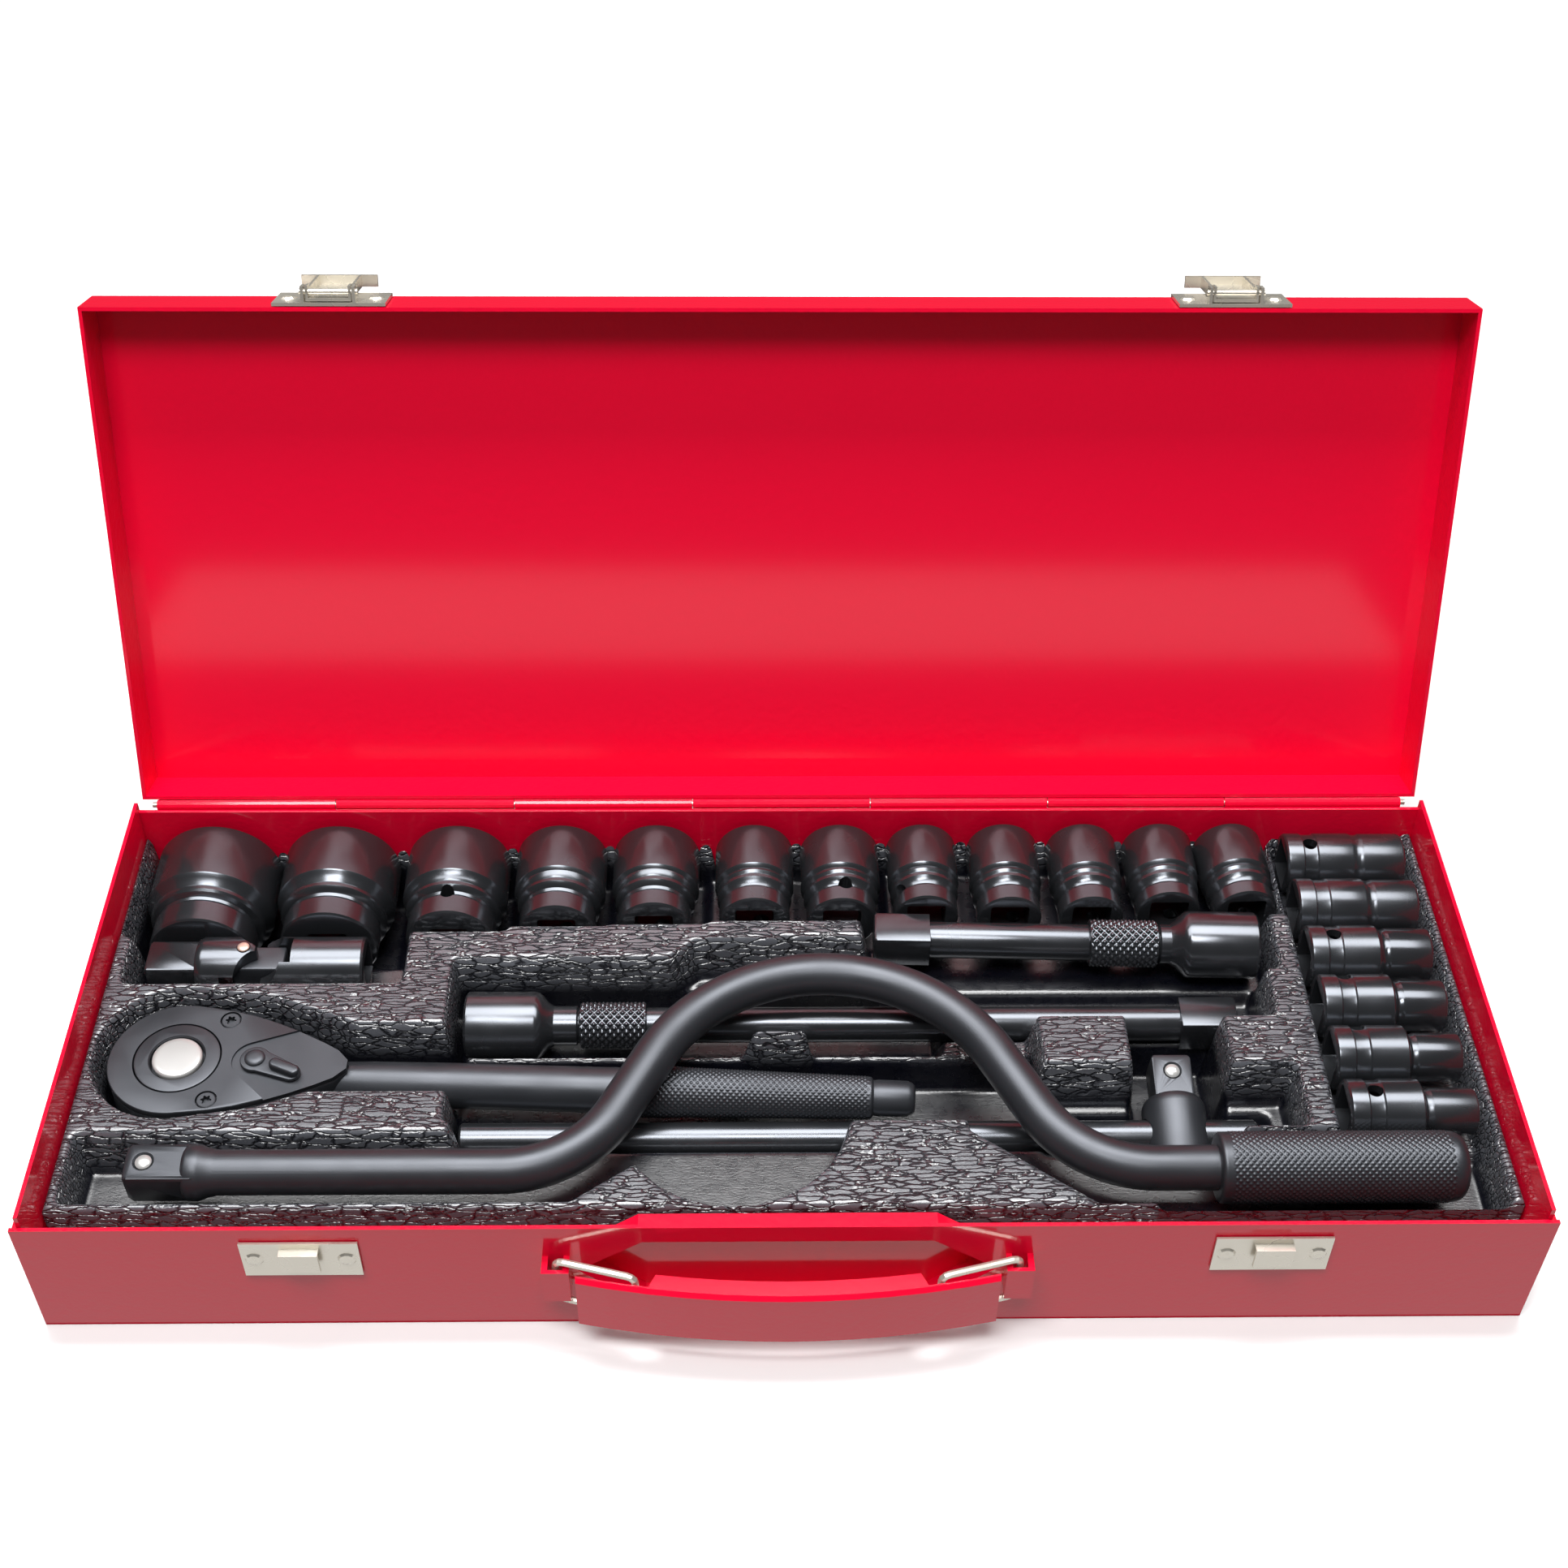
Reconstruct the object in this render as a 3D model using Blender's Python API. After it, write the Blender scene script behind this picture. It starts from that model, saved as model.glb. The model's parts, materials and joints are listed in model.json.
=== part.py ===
"""Half-inch socket wrench set in a hinged sheet-steel case with a moulded tray.

Metres, +Z up. X runs along the case, +Y points to its back, and the origin is the
middle of the case's underside. The lid stands open, as it rests. Run it with
blender --background --python part.py, or from Blender's text editor.
"""

import math

import bmesh
import bpy
from mathutils import Matrix, Vector

MM = 0.001
GAP = 0.3 * MM

# Case
SHEET = 1.2 * MM
CASE_HALF = 219 * MM
CASE_FRONT = -83 * MM
CASE_BACK = 84.5 * MM
SIDE_H = 52.3 * MM
BACK_H = 49 * MM
SIDE_NOSE_R = 12 * MM
PANEL_HALF = 221 * MM
PANEL_FACE = -84.5 * MM
PANEL_H = 48 * MM
PANEL_RETURN = 9 * MM

# Lid, given as it lies closed
HINGE_Y = 86.5 * MM
HINGE_Z = 49.5 * MM
LID_OPEN = math.radians(109)
LID_HALF = 216.8 * MM
LID_FRONT = -82.5 * MM
LID_TOP = 66 * MM
KNUCKLES = 7
KNUCKLE_R = 1.75 * MM
PIN_R = 0.9 * MM
PIN_HOLE_R = 1.2 * MM
LEAF_HALF = 212 * MM

# Latches
LATCH_X = 140 * MM
LATCH_PIN_Y = -87.0 * MM
LATCH_PIN_Z = 51.6 * MM
LEVER_HALF = 7 * MM
LEVER_TAB_HALF = 12 * MM
LEVER_END_Z = 72.5 * MM

# Handle
GRIP_HALF = 61 * MM
GRIP_LOW = 12 * MM
GRIP_HIGH = 35.2 * MM
GRIP_END_Y = -93.6 * MM
GRIP_BULGE = 6.5 * MM
GRIP_FLANGE_HALF = 38 * MM
RING_X = 67 * MM
RING_Y = -87.6 * MM
RING_ARM = 24 * MM
RING_LOW = 18 * MM
RING_HIGH = 36.6 * MM
RING_WIRE_R = 1.1 * MM
RING_REST = math.radians(14.5)

# Tray
TRAY_HALF = 217.2 * MM
TRAY_FRONT = -70.5 * MM
TRAY_BACK = 82.8 * MM
TRAY_FOOT = SHEET + GAP
LAND = 38.5 * MM
SKIN = 1.0 * MM
REST = 0.4 * MM

# Tools
SQUARE = 12.7 * MM
SQUARE_DEPTH = 16 * MM
ROW_END_Y = 80.2 * MM
ROW_TOP = 46.5 * MM
COLUMN_X = 170.6 * MM
COLUMN_Z = 36 * MM
COLUMN_BACK_Y = 70.6 * MM
COLUMN_PITCH = 21.2 * MM
COLUMN_R = 10.3 * MM
COLUMN_LENGTH = 40 * MM

# nominal size, outer diameter, drive end diameter, length, place along X, all in mm
ROW_SOCKETS = (
    (32, 43.0, 35, 40, -193.0),
    (30, 40.0, 33, 38, -150.8),
    (27, 35.7, 30, 38, -110.5),
    (24, 31.3, 26, 36, -75.0),
    (23, 29.9, 25, 35, -42.7),
    (22, 27.0, 24, 34, -9.3),
    (21, 27.4, 24, 34, 19.8),
    (20, 24.4, 22, 33.5, 47.8),
    (19, 24.8, 22, 34, 75.6),
    (18, 24.8, 22, 34, 102.9),
    (17, 24.8, 22, 32, 129.0),
    (16, 24.2, 22, 32, 154.0),
)
LAST_ROW_SOCKET_TURN = math.radians(3)
# nominal size and diameter of the nut end, in mm
COLUMN_SOCKETS = ((15, 20.2), (14, 19.6), (13, 18.4), (12, 16.8), (11, 15.6), (10, 14.8))

UJ_Y, UJ_Z, UJ_R = 30 * MM, 30 * MM, 10.2 * MM
UJ_LEFT, UJ_RIGHT = -207 * MM, -136 * MM
UJ_PIN_A_X, UJ_PIN_B_X = -175 * MM, -167 * MM

LONG_Y, LONG_Z = 10 * MM, 24 * MM
LONG_LEFT, LONG_RIGHT = -103 * MM, 147 * MM
SHORT_LEFT = Vector((29.5 * MM, 38.5 * MM, 33.8 * MM))
SHORT_LENGTH = 127 * MM
SHORT_TURN = math.radians(-1.9)

TBAR_Y, TBAR_Z, TBAR_R = -31 * MM, 18 * MM, 5.25 * MM
TBAR_LEFT, TBAR_RIGHT = -102 * MM, 148 * MM
TBAR_HEAD_X = 122.5 * MM
TBAR_TILT = math.radians(12)

RATCHET = Vector((-189.5 * MM, -11.5 * MM, 0))
RATCHET_TURN = math.radians(-2.4)
HEAD_R = 21.5 * MM
HEAD_LOW, HEAD_HIGH = 14.5 * MM, 32.5 * MM
COVER_LOW, COVER_HIGH = 32.8 * MM, 35 * MM
HANDLE_Z = 25 * MM

BAR_R = 6.75 * MM
BAR_Y, BAR_Z = -57.3 * MM, 38 * MM
BAR_TILT = math.radians(3.5)
BAR_LEFT, GRIP_LEFT, GRIP_RIGHT = -195 * MM, 128 * MM, 202 * MM
BAR_CROWN_X = 12.5 * MM
BAR_CROWN_R = 60 * MM
BAR_FOOT_R = 38.5 * MM
BAR_BEND = math.radians(62)
BAR_FLANK = 23.5 * MM
BAR_GRIP_R = 10.7 * MM

LOOKS = {
    "red_paint": ((0.72, 0.012, 0.045, 1), 0.22, 0.0),
    "tray_plastic": ((0.012, 0.013, 0.018, 1), 0.35, 0.0),
    "nickel": ((0.80, 0.77, 0.72, 1), 0.28, 1.0),
    "black_chrome": ((0.09, 0.09, 0.095, 1), 0.25, 1.0),
    "black_steel": ((0.045, 0.048, 0.052, 1), 0.5, 0.6),
    "bright_steel": ((0.75, 0.74, 0.72, 1), 0.2, 1.0),
}


def clear_scene():
    for obj in list(bpy.data.objects):
        bpy.data.objects.remove(obj, do_unlink=True)


def look(name):
    found = bpy.data.materials.get(name)
    if found:
        return found
    colour, roughness, metallic = LOOKS[name]
    made = bpy.data.materials.new(name)
    made.use_nodes = True
    made.diffuse_color = colour
    shader = made.node_tree.nodes["Principled BSDF"]
    shader.inputs["Base Color"].default_value = colour
    shader.inputs["Roughness"].default_value = roughness
    shader.inputs["Metallic"].default_value = metallic
    return made


# ---------------------------------------------------------------- modelling tools


def solid(bm, name="tool", material=None, place=None):
    """An object holding the bmesh, with its faces turned outwards."""
    if place is not None:
        bm.transform(place)
    bmesh.ops.recalc_face_normals(bm, faces=bm.faces)
    mesh = bpy.data.meshes.new(name)
    bm.to_mesh(mesh)
    bm.free()
    obj = bpy.data.objects.new(name, mesh)
    bpy.context.scene.collection.objects.link(obj)
    if material:
        obj.data.materials.append(look(material))
    return obj


def smooth(obj, angle=35):
    obj.data.shade_smooth()
    obj.data.set_sharp_from_angle(angle=math.radians(angle))
    return obj


def combine(obj, tools, operation):
    """Applies Booleans of obj with each tool, and removes the tools."""
    materials = list(obj.data.materials)
    for tool in tools:
        step = obj.modifiers.new(operation, "BOOLEAN")
        step.operation = operation
        step.object = tool
        graph = bpy.context.evaluated_depsgraph_get()
        mesh = bpy.data.meshes.new_from_object(obj.evaluated_get(graph))
        obj.modifiers.clear()
        obj.data = mesh
        bpy.data.objects.remove(tool, do_unlink=True)
    obj.data.materials.clear()
    for material in materials:
        obj.data.materials.append(material)
    return obj


def cut(obj, *tools):
    return combine(obj, tools, "DIFFERENCE")


def join(obj, *tools):
    return combine(obj, tools, "UNION")


def block(low, high, name="tool", material=None, place=None):
    """A box between two corners."""
    bm = bmesh.new()
    bmesh.ops.create_cube(bm, size=1)
    for vert in bm.verts:
        vert.co = Vector([(a + b) / 2 + (b - a) * c for a, b, c in zip(low, high, vert.co)])
    return solid(bm, name, material, place)


def prism(outline, low, high, name="tool", material=None, place=None):
    """An outline in X and Y, extruded from low to high along Z."""
    bm = bmesh.new()
    face = bm.faces.new([bm.verts.new((x, y, low)) for x, y in outline])
    pulled = bmesh.ops.extrude_face_region(bm, geom=[face])["geom"]
    verts = [v for v in pulled if isinstance(v, bmesh.types.BMVert)]
    bmesh.ops.translate(bm, verts=verts, vec=(0, 0, high - low))
    return solid(bm, name, material, place)


def turned(profile, sides=24, name="tool", material=None, place=None):
    """A solid of revolution about Z. The profile is (z, radius) pairs from one end to the other."""
    bm = bmesh.new()
    rings = []
    for z, radius in profile:
        ring = [
            bm.verts.new((radius * math.cos(a), radius * math.sin(a), z))
            for a in (math.tau * (i + 0.5) / sides for i in range(sides))
        ]
        rings.append(ring)
    for ring, above in zip(rings, rings[1:]):
        for i in range(sides):
            j = (i + 1) % sides
            bm.faces.new((ring[i], ring[j], above[j], above[i]))
    bm.faces.new(rings[0])
    bm.faces.new(rings[-1])
    return solid(bm, name, material, place)


def along_x(x, y, z):
    """Takes a turned solid's Z to +X, starting at the point."""
    return Matrix.Translation((x, y, z)) @ Matrix.Rotation(math.pi / 2, 4, "Y")


def along_y(x, y, z):
    """Takes a turned solid's Z to +Y, starting at the point."""
    return Matrix.Translation((x, y, z)) @ Matrix.Rotation(-math.pi / 2, 4, "X")


def turn_about(point, axis, angle):
    return Matrix.Translation(point) @ Matrix.Rotation(angle, 4, axis) @ Matrix.Translation(-point)


def arc(cx, cy, radius, start, end, steps):
    """Points on an arc, with both ends."""
    angles = [start + (end - start) * i / steps for i in range(steps + 1)]
    return [(cx + radius * math.cos(a), cy + radius * math.sin(a)) for a in angles]


def square_bar(half, start, end, place, chamfer=0.0, **look_of):
    """A square bar along local Z, turned so that one flat faces local X, with a chamfered far end."""
    bm = bmesh.new()
    sections = [(start, half), (end, half)]
    if chamfer:
        sections = [(start, half), (end - chamfer, half), (end, half - chamfer)]
    rings = []
    for z, h in sections:
        rings.append([bm.verts.new((x * h, y * h, z)) for x, y in ((-1, -1), (1, -1), (1, 1), (-1, 1))])
    for ring, above in zip(rings, rings[1:]):
        for i in range(4):
            j = (i + 1) % 4
            bm.faces.new((ring[i], ring[j], above[j], above[i]))
    bm.faces.new(rings[0])
    bm.faces.new(rings[-1])
    return solid(bm, place=place, **look_of)


LID_POINT = Vector((0, HINGE_Y, HINGE_Z))
LID_PLACE = turn_about(LID_POINT, "X", -LID_OPEN)


# ---------------------------------------------------------------- the case


def make_case_base():
    base = block(
        (-CASE_HALF, CASE_FRONT, 0), (CASE_HALF, CASE_BACK, SIDE_H), "case_base", "red_paint"
    )
    inner = CASE_HALF - SHEET
    hollow = block((-inner, CASE_FRONT - MM, SHEET), (inner, CASE_BACK - SHEET, SIDE_H + MM))
    over_back = block((-inner, CASE_BACK - 2 * SHEET, BACK_H), (inner, CASE_BACK + MM, SIDE_H + MM))
    nose = [(CASE_FRONT - MM, SIDE_H + MM), (CASE_FRONT - MM, SIDE_H - SIDE_NOSE_R)]
    nose += arc(
        CASE_FRONT + SIDE_NOSE_R, SIDE_H - SIDE_NOSE_R, SIDE_NOSE_R, math.pi, math.pi / 2, 6
    )
    nose += [(CASE_FRONT + SIDE_NOSE_R, SIDE_H + MM)]
    yz_to_xyz = Matrix(((0, 0, 1, 0), (1, 0, 0, 0), (0, 1, 0, 0), (0, 0, 0, 1)))
    corner = prism(nose, -CASE_HALF - MM, CASE_HALF + MM, place=yz_to_xyz)
    cut(base, hollow, over_back, corner)


def make_front_panel():
    back = PANEL_FACE + SHEET
    panel = block((-PANEL_HALF, PANEL_FACE, 0), (PANEL_HALF, back, PANEL_H), "front_panel", "red_paint")
    returns = []
    for side in (-1, 1):
        xs = sorted((side * PANEL_HALF, side * (CASE_HALF + GAP)))
        returns.append(
            block((xs[0], PANEL_FACE, 0), (xs[1], PANEL_FACE + PANEL_RETURN, PANEL_H - 2 * MM))
        )
    # pressed finger recess behind the grip, open at the panel's top edge
    depth = 7.5 * MM
    xz_to_xyz = Matrix(((1, 0, 0, 0), (0, 0, 1, 0), (0, 1, 0, 0), (0, 0, 0, 1)))
    outline = [(-61, 27), (-42, 41), (42, 41), (61, 27), (42, 9), (-42, 9)]
    recess = [(x * MM, z * MM) for x, z in outline]
    shell = [(x * 1.03, 25 * MM + (z - 25 * MM) * 1.09) for x, z in recess]
    boss = prism(shell, PANEL_FACE + 0.5 * MM, PANEL_FACE + depth + SHEET, place=xz_to_xyz)
    pit = prism(recess, PANEL_FACE - MM, PANEL_FACE + depth, place=xz_to_xyz)
    # pressed straps that hold the rings
    straps, slots = [], []
    for side in (-1, 1):
        x = side * RING_X
        straps.append(
            block(
                (x - 4 * MM, RING_Y - 2.9 * MM, RING_LOW + 2.2 * MM),
                (x + 4 * MM, back, RING_HIGH - 2.2 * MM),
            )
        )
        slots.append(
            block(
                (x - 2.2 * MM, RING_Y - 1.7 * MM, RING_LOW),
                (x + 2.2 * MM, PANEL_FACE, RING_HIGH),
            )
        )
    join(panel, *returns, boss, *straps)
    cut(panel, pit, *slots)


def make_lid():
    half, inner = LID_HALF, LID_HALF - SHEET
    lid = block((-half, LID_FRONT, HINGE_Z), (half, CASE_BACK, LID_TOP), "case_lid", "red_paint")
    hollow = block(
        (-inner, LID_FRONT + SHEET, HINGE_Z - MM), (inner, CASE_BACK - SHEET, LID_TOP - SHEET)
    )
    cut(lid, hollow)
    lid.data.transform(LID_PLACE)


def make_hinge():
    """Two leaves whose knuckles alternate along one pin."""
    pitch = 2 * LEAF_HALF / KNUCKLES
    plate_y = (CASE_BACK + GAP, CASE_BACK + GAP + MM)
    spans = {
        "hinge_leaf_base": (0, (HINGE_Z - 11 * MM, HINGE_Z - 2.3 * MM), HINGE_Z - 3 * MM),
        "hinge_leaf_lid": (1, (HINGE_Z + 2.3 * MM, HINGE_Z + 10 * MM), HINGE_Z + 3 * MM),
    }
    for name, (first, plate_z, tab_z) in spans.items():
        leaf = block(
            (-LEAF_HALF, plate_y[0], plate_z[0]), (LEAF_HALF, plate_y[1], plate_z[1]), name, "red_paint"
        )
        pieces = []
        for i in range(first, KNUCKLES, 2):
            left = -LEAF_HALF + i * pitch + GAP / 2
            right = left + pitch - GAP
            barrel = [(0, KNUCKLE_R), (right - left, KNUCKLE_R)]
            pieces.append(turned(barrel, 12, place=along_x(left, HINGE_Y, HINGE_Z)))
            low, high = sorted((tab_z, HINGE_Z))
            pieces.append(block((left, plate_y[0], low), (right, plate_y[1], high)))
        join(leaf, *pieces)
        bore = [(-LEAF_HALF - MM, PIN_HOLE_R), (LEAF_HALF + MM, PIN_HOLE_R)]
        cut(leaf, turned(bore, 12, place=along_x(0, HINGE_Y, HINGE_Z)))
        if first:
            leaf.data.transform(LID_PLACE)
    pin = [(-LEAF_HALF - 1.5 * MM, PIN_R), (LEAF_HALF + 1.5 * MM, PIN_R)]
    smooth(turned(pin, 12, "hinge_pin", "nickel", along_x(0, HINGE_Y, HINGE_Z)))


def rivet(x, y, z, radius, height):
    """A domed rivet head standing out of a face towards -Y."""
    place = Matrix.Translation((x, y, z)) @ Matrix.Rotation(math.pi / 2, 4, "X")
    profile = [(-0.6 * MM, radius * 0.8), (0, radius), (height * 0.6, radius * 0.8), (height, radius * 0.4)]
    return turned(profile, 12, place=place)


def make_catches():
    """The keeper plates on the front panel, each with a hook that the latch closes over."""
    for side, name in ((-1, "catch_plate_left"), (1, "catch_plate_right")):
        x = side * LATCH_X
        back = PANEL_FACE - GAP
        face = back - 0.8 * MM
        plate = block((x - 17 * MM, face, 27 * MM), (x + 17 * MM, back, 42.5 * MM), name, "nickel")
        web = block((x - 5.6 * MM, face - 2.6 * MM, 39.2 * MM), (x + 5.6 * MM, face + 0.4 * MM, 40.2 * MM))
        lip = block((x - 5.6 * MM, face - 2.6 * MM, 32 * MM), (x + 5.6 * MM, face - 1.6 * MM, 40.2 * MM))
        heads = [rivet(x + s * 13.3 * MM, face, 35.2 * MM, 2.8 * MM, 0.9 * MM) for s in (-1, 1)]
        join(plate, web, lip, *heads)


def make_latches():
    """Each latch turns on a pin near the lid's rim and lies folded back while the lid is open."""
    for side, tag in ((-1, "left"), (1, "right")):
        x = side * LATCH_X
        back = LID_FRONT - GAP
        face = back - MM
        bore = [(0, 1.15 * MM), (20 * MM, 1.15 * MM)]
        bore_place = along_x(x - 10 * MM, LATCH_PIN_Y, LATCH_PIN_Z)
        plate = block(
            (x - 17.5 * MM, face, 49.9 * MM), (x + 17.5 * MM, back, 65 * MM), "latch_plate_" + tag, "nickel"
        )
        ears = [
            block(
                (x + s * 7.9 * MM - 0.5 * MM, LATCH_PIN_Y - 1.8 * MM, 49.9 * MM),
                (x + s * 7.9 * MM + 0.5 * MM, face + 0.5 * MM, 53.4 * MM),
            )
            for s in (-1, 1)
        ]
        heads = [rivet(x + s * 13.6 * MM, face, 57.5 * MM, 2.6 * MM, 0.9 * MM) for s in (-1, 1)]
        join(plate, *ears, *heads)
        cut(plate, turned(bore, 12, place=bore_place))
        pin = turned(
            [(0, 0.9 * MM), (18 * MM, 0.9 * MM)],
            12,
            "latch_pin_" + tag,
            "nickel",
            along_x(x - 9 * MM, LATCH_PIN_Y, LATCH_PIN_Z),
        )
        # a channel that closes over the catch's hook, with a wide thumb tab at its far end
        near, far = face - 0.4 * MM, LATCH_PIN_Y - 0.9 * MM
        lever = block(
            (x - LEVER_HALF, far, 50.5 * MM),
            (x + LEVER_HALF, near, LEVER_END_Z),
            "latch_lever_" + tag,
            "nickel",
        )
        inner = LEVER_HALF - 0.8 * MM
        hollow = block(
            (x - inner, far - MM, 50 * MM), (x + inner, near - 0.9 * MM, LEVER_END_Z - 0.8 * MM)
        )
        cut(lever, hollow)
        tab = block(
            (x - LEVER_TAB_HALF, far, LEVER_END_Z - 0.8 * MM),
            (x + LEVER_TAB_HALF, near, LEVER_END_Z + 0.2 * MM),
        )
        bosses = [
            block(
                (x + s * 6.6 * MM - 0.4 * MM, LATCH_PIN_Y - 1.9 * MM, 50.5 * MM),
                (x + s * 6.6 * MM + 0.4 * MM, near - 0.4 * MM, 54 * MM),
            )
            for s in (-1, 1)
        ]
        join(lever, tab, *bosses)
        cut(lever, turned(bore, 12, place=bore_place))
        for obj in (plate, pin, lever):
            obj.data.transform(LID_PLACE)


# ---------------------------------------------------------------- the handle


def make_grip():
    """A pressed channel, open towards the case, that bulges out in the middle."""
    bm = bmesh.new()
    wall, edge = 1.3 * MM, 1.2 * MM
    flange, end_flange = 6 * MM, 1.7 * MM
    stations = [-GRIP_HALF, -52 * MM, -GRIP_FLANGE_HALF - 2 * MM]
    stations += [GRIP_FLANGE_HALF * i / 4 for i in range(-4, 5)]
    stations += [GRIP_FLANGE_HALF + 2 * MM, 52 * MM, GRIP_HALF]

    def front(x):
        return GRIP_END_Y - GRIP_BULGE * (1 - (x / GRIP_HALF) ** 2)

    def section(x, depth):
        y = front(x)
        low, high = GRIP_LOW, GRIP_HIGH
        points = [(y, low + edge), (y + edge, low), (y + depth, low), (y + depth, low + wall)]
        points += [(y + wall + 0.3 * MM, low + wall), (y + wall, low + wall + 0.3 * MM)]
        points += [(y + wall, high - wall - 0.3 * MM), (y + wall + 0.3 * MM, high - wall)]
        points += [(y + depth, high - wall), (y + depth, high), (y + edge, high), (y, high - edge)]
        return [bm.verts.new((x, py, pz)) for py, pz in points]

    rings = [section(x, flange if abs(x) <= GRIP_FLANGE_HALF else end_flange) for x in stations]
    for ring, beyond in zip(rings, rings[1:]):
        for i in range(len(ring)):
            j = (i + 1) % len(ring)
            bm.faces.new((ring[i], ring[j], beyond[j], beyond[i]))
    bm.faces.new(rings[0])
    bm.faces.new(rings[-1])
    smooth(solid(bm, "handle_grip", "red_paint"))


def tube(points, radius, name, material, cyclic=False, resolution=3, place=None):
    """A round bar along a list of points."""
    curve = bpy.data.curves.new(name, "CURVE")
    curve.dimensions = "3D"
    curve.bevel_depth = radius
    curve.bevel_resolution = resolution
    curve.use_fill_caps = not cyclic
    spline = curve.splines.new("POLY")
    spline.points.add(len(points) - 1)
    for point, co in zip(spline.points, points):
        point.co = (*co, 1)
    spline.use_cyclic_u = cyclic
    holder = bpy.data.objects.new("tube", curve)
    bpy.context.scene.collection.objects.link(holder)
    graph = bpy.context.evaluated_depsgraph_get()
    mesh = bpy.data.meshes.new_from_object(holder.evaluated_get(graph))
    bpy.data.objects.remove(holder, do_unlink=True)
    mesh.materials.clear()
    bm = bmesh.new()
    bm.from_mesh(mesh)
    bmesh.ops.remove_doubles(bm, verts=bm.verts, dist=1e-6)
    return smooth(solid(bm, name, material, place))


def make_rings():
    """Wire rings that turn on upright axes in the straps. Each rests swung part of the way out."""
    bend = 2.5 * MM
    low, high = RING_LOW, RING_HIGH
    corners = (
        (bend, low + bend, -math.pi, -math.pi / 2),
        (RING_ARM - bend, low + bend, -math.pi / 2, 0),
        (RING_ARM - bend, high - bend, 0, math.pi / 2),
        (bend, high - bend, math.pi / 2, math.pi),
    )
    outline = [p for cx, cz, a, b in corners for p in arc(cx, cz, bend, a, b, 3)]
    for side, tag in ((-1, "left"), (1, "right")):
        points = [(-side * x, 0, z) for x, z in outline]
        swing = Matrix.Translation((side * RING_X, RING_Y, 0)) @ Matrix.Rotation(
            side * RING_REST, 4, "Z"
        )
        tube(points, RING_WIRE_R, "handle_ring_" + tag, "nickel", cyclic=True, resolution=2, place=swing)


# ---------------------------------------------------------------- the tray


def box_pocket(x0, x1, y0, y1, floor):
    """A pocket's cutter as a function of how far it is grown."""

    def cutter(grow, drop):
        low = (x0 * MM - grow, y0 * MM - grow, floor * MM - drop)
        return block(low, (x1 * MM + grow, y1 * MM + grow, LAND + MM))

    return cutter


def grown(outline, grow):
    """A counter-clockwise outline with every edge moved outwards."""
    points = []
    for before, here, after in zip(outline[-1:] + outline[:-1], outline, outline[1:] + outline[:1]):
        a = (Vector(here) - Vector(before)).normalized()
        b = (Vector(after) - Vector(here)).normalized()
        out = Vector((a.y + b.y, -a.x - b.x))
        points.append(Vector(here) + out * (grow / (1 + a.dot(b))))
    return points


def shaped_pocket(outline, floor):
    def cutter(grow, drop):
        points = grown([(x * MM, y * MM) for x, y in outline], grow)
        return prism(points, floor * MM - drop, LAND + MM)

    return cutter


def round_pocket(x, y, radius, floor):
    def cutter(grow, drop):
        profile = [(floor * MM - drop, radius * MM + grow), (LAND + MM, radius * MM + grow)]
        return turned(profile, 24, place=Matrix.Translation((x * MM, y * MM, 0)))

    return cutter


def row_axis_z(diameter):
    return ROW_TOP - diameter / 2 * MM


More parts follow.
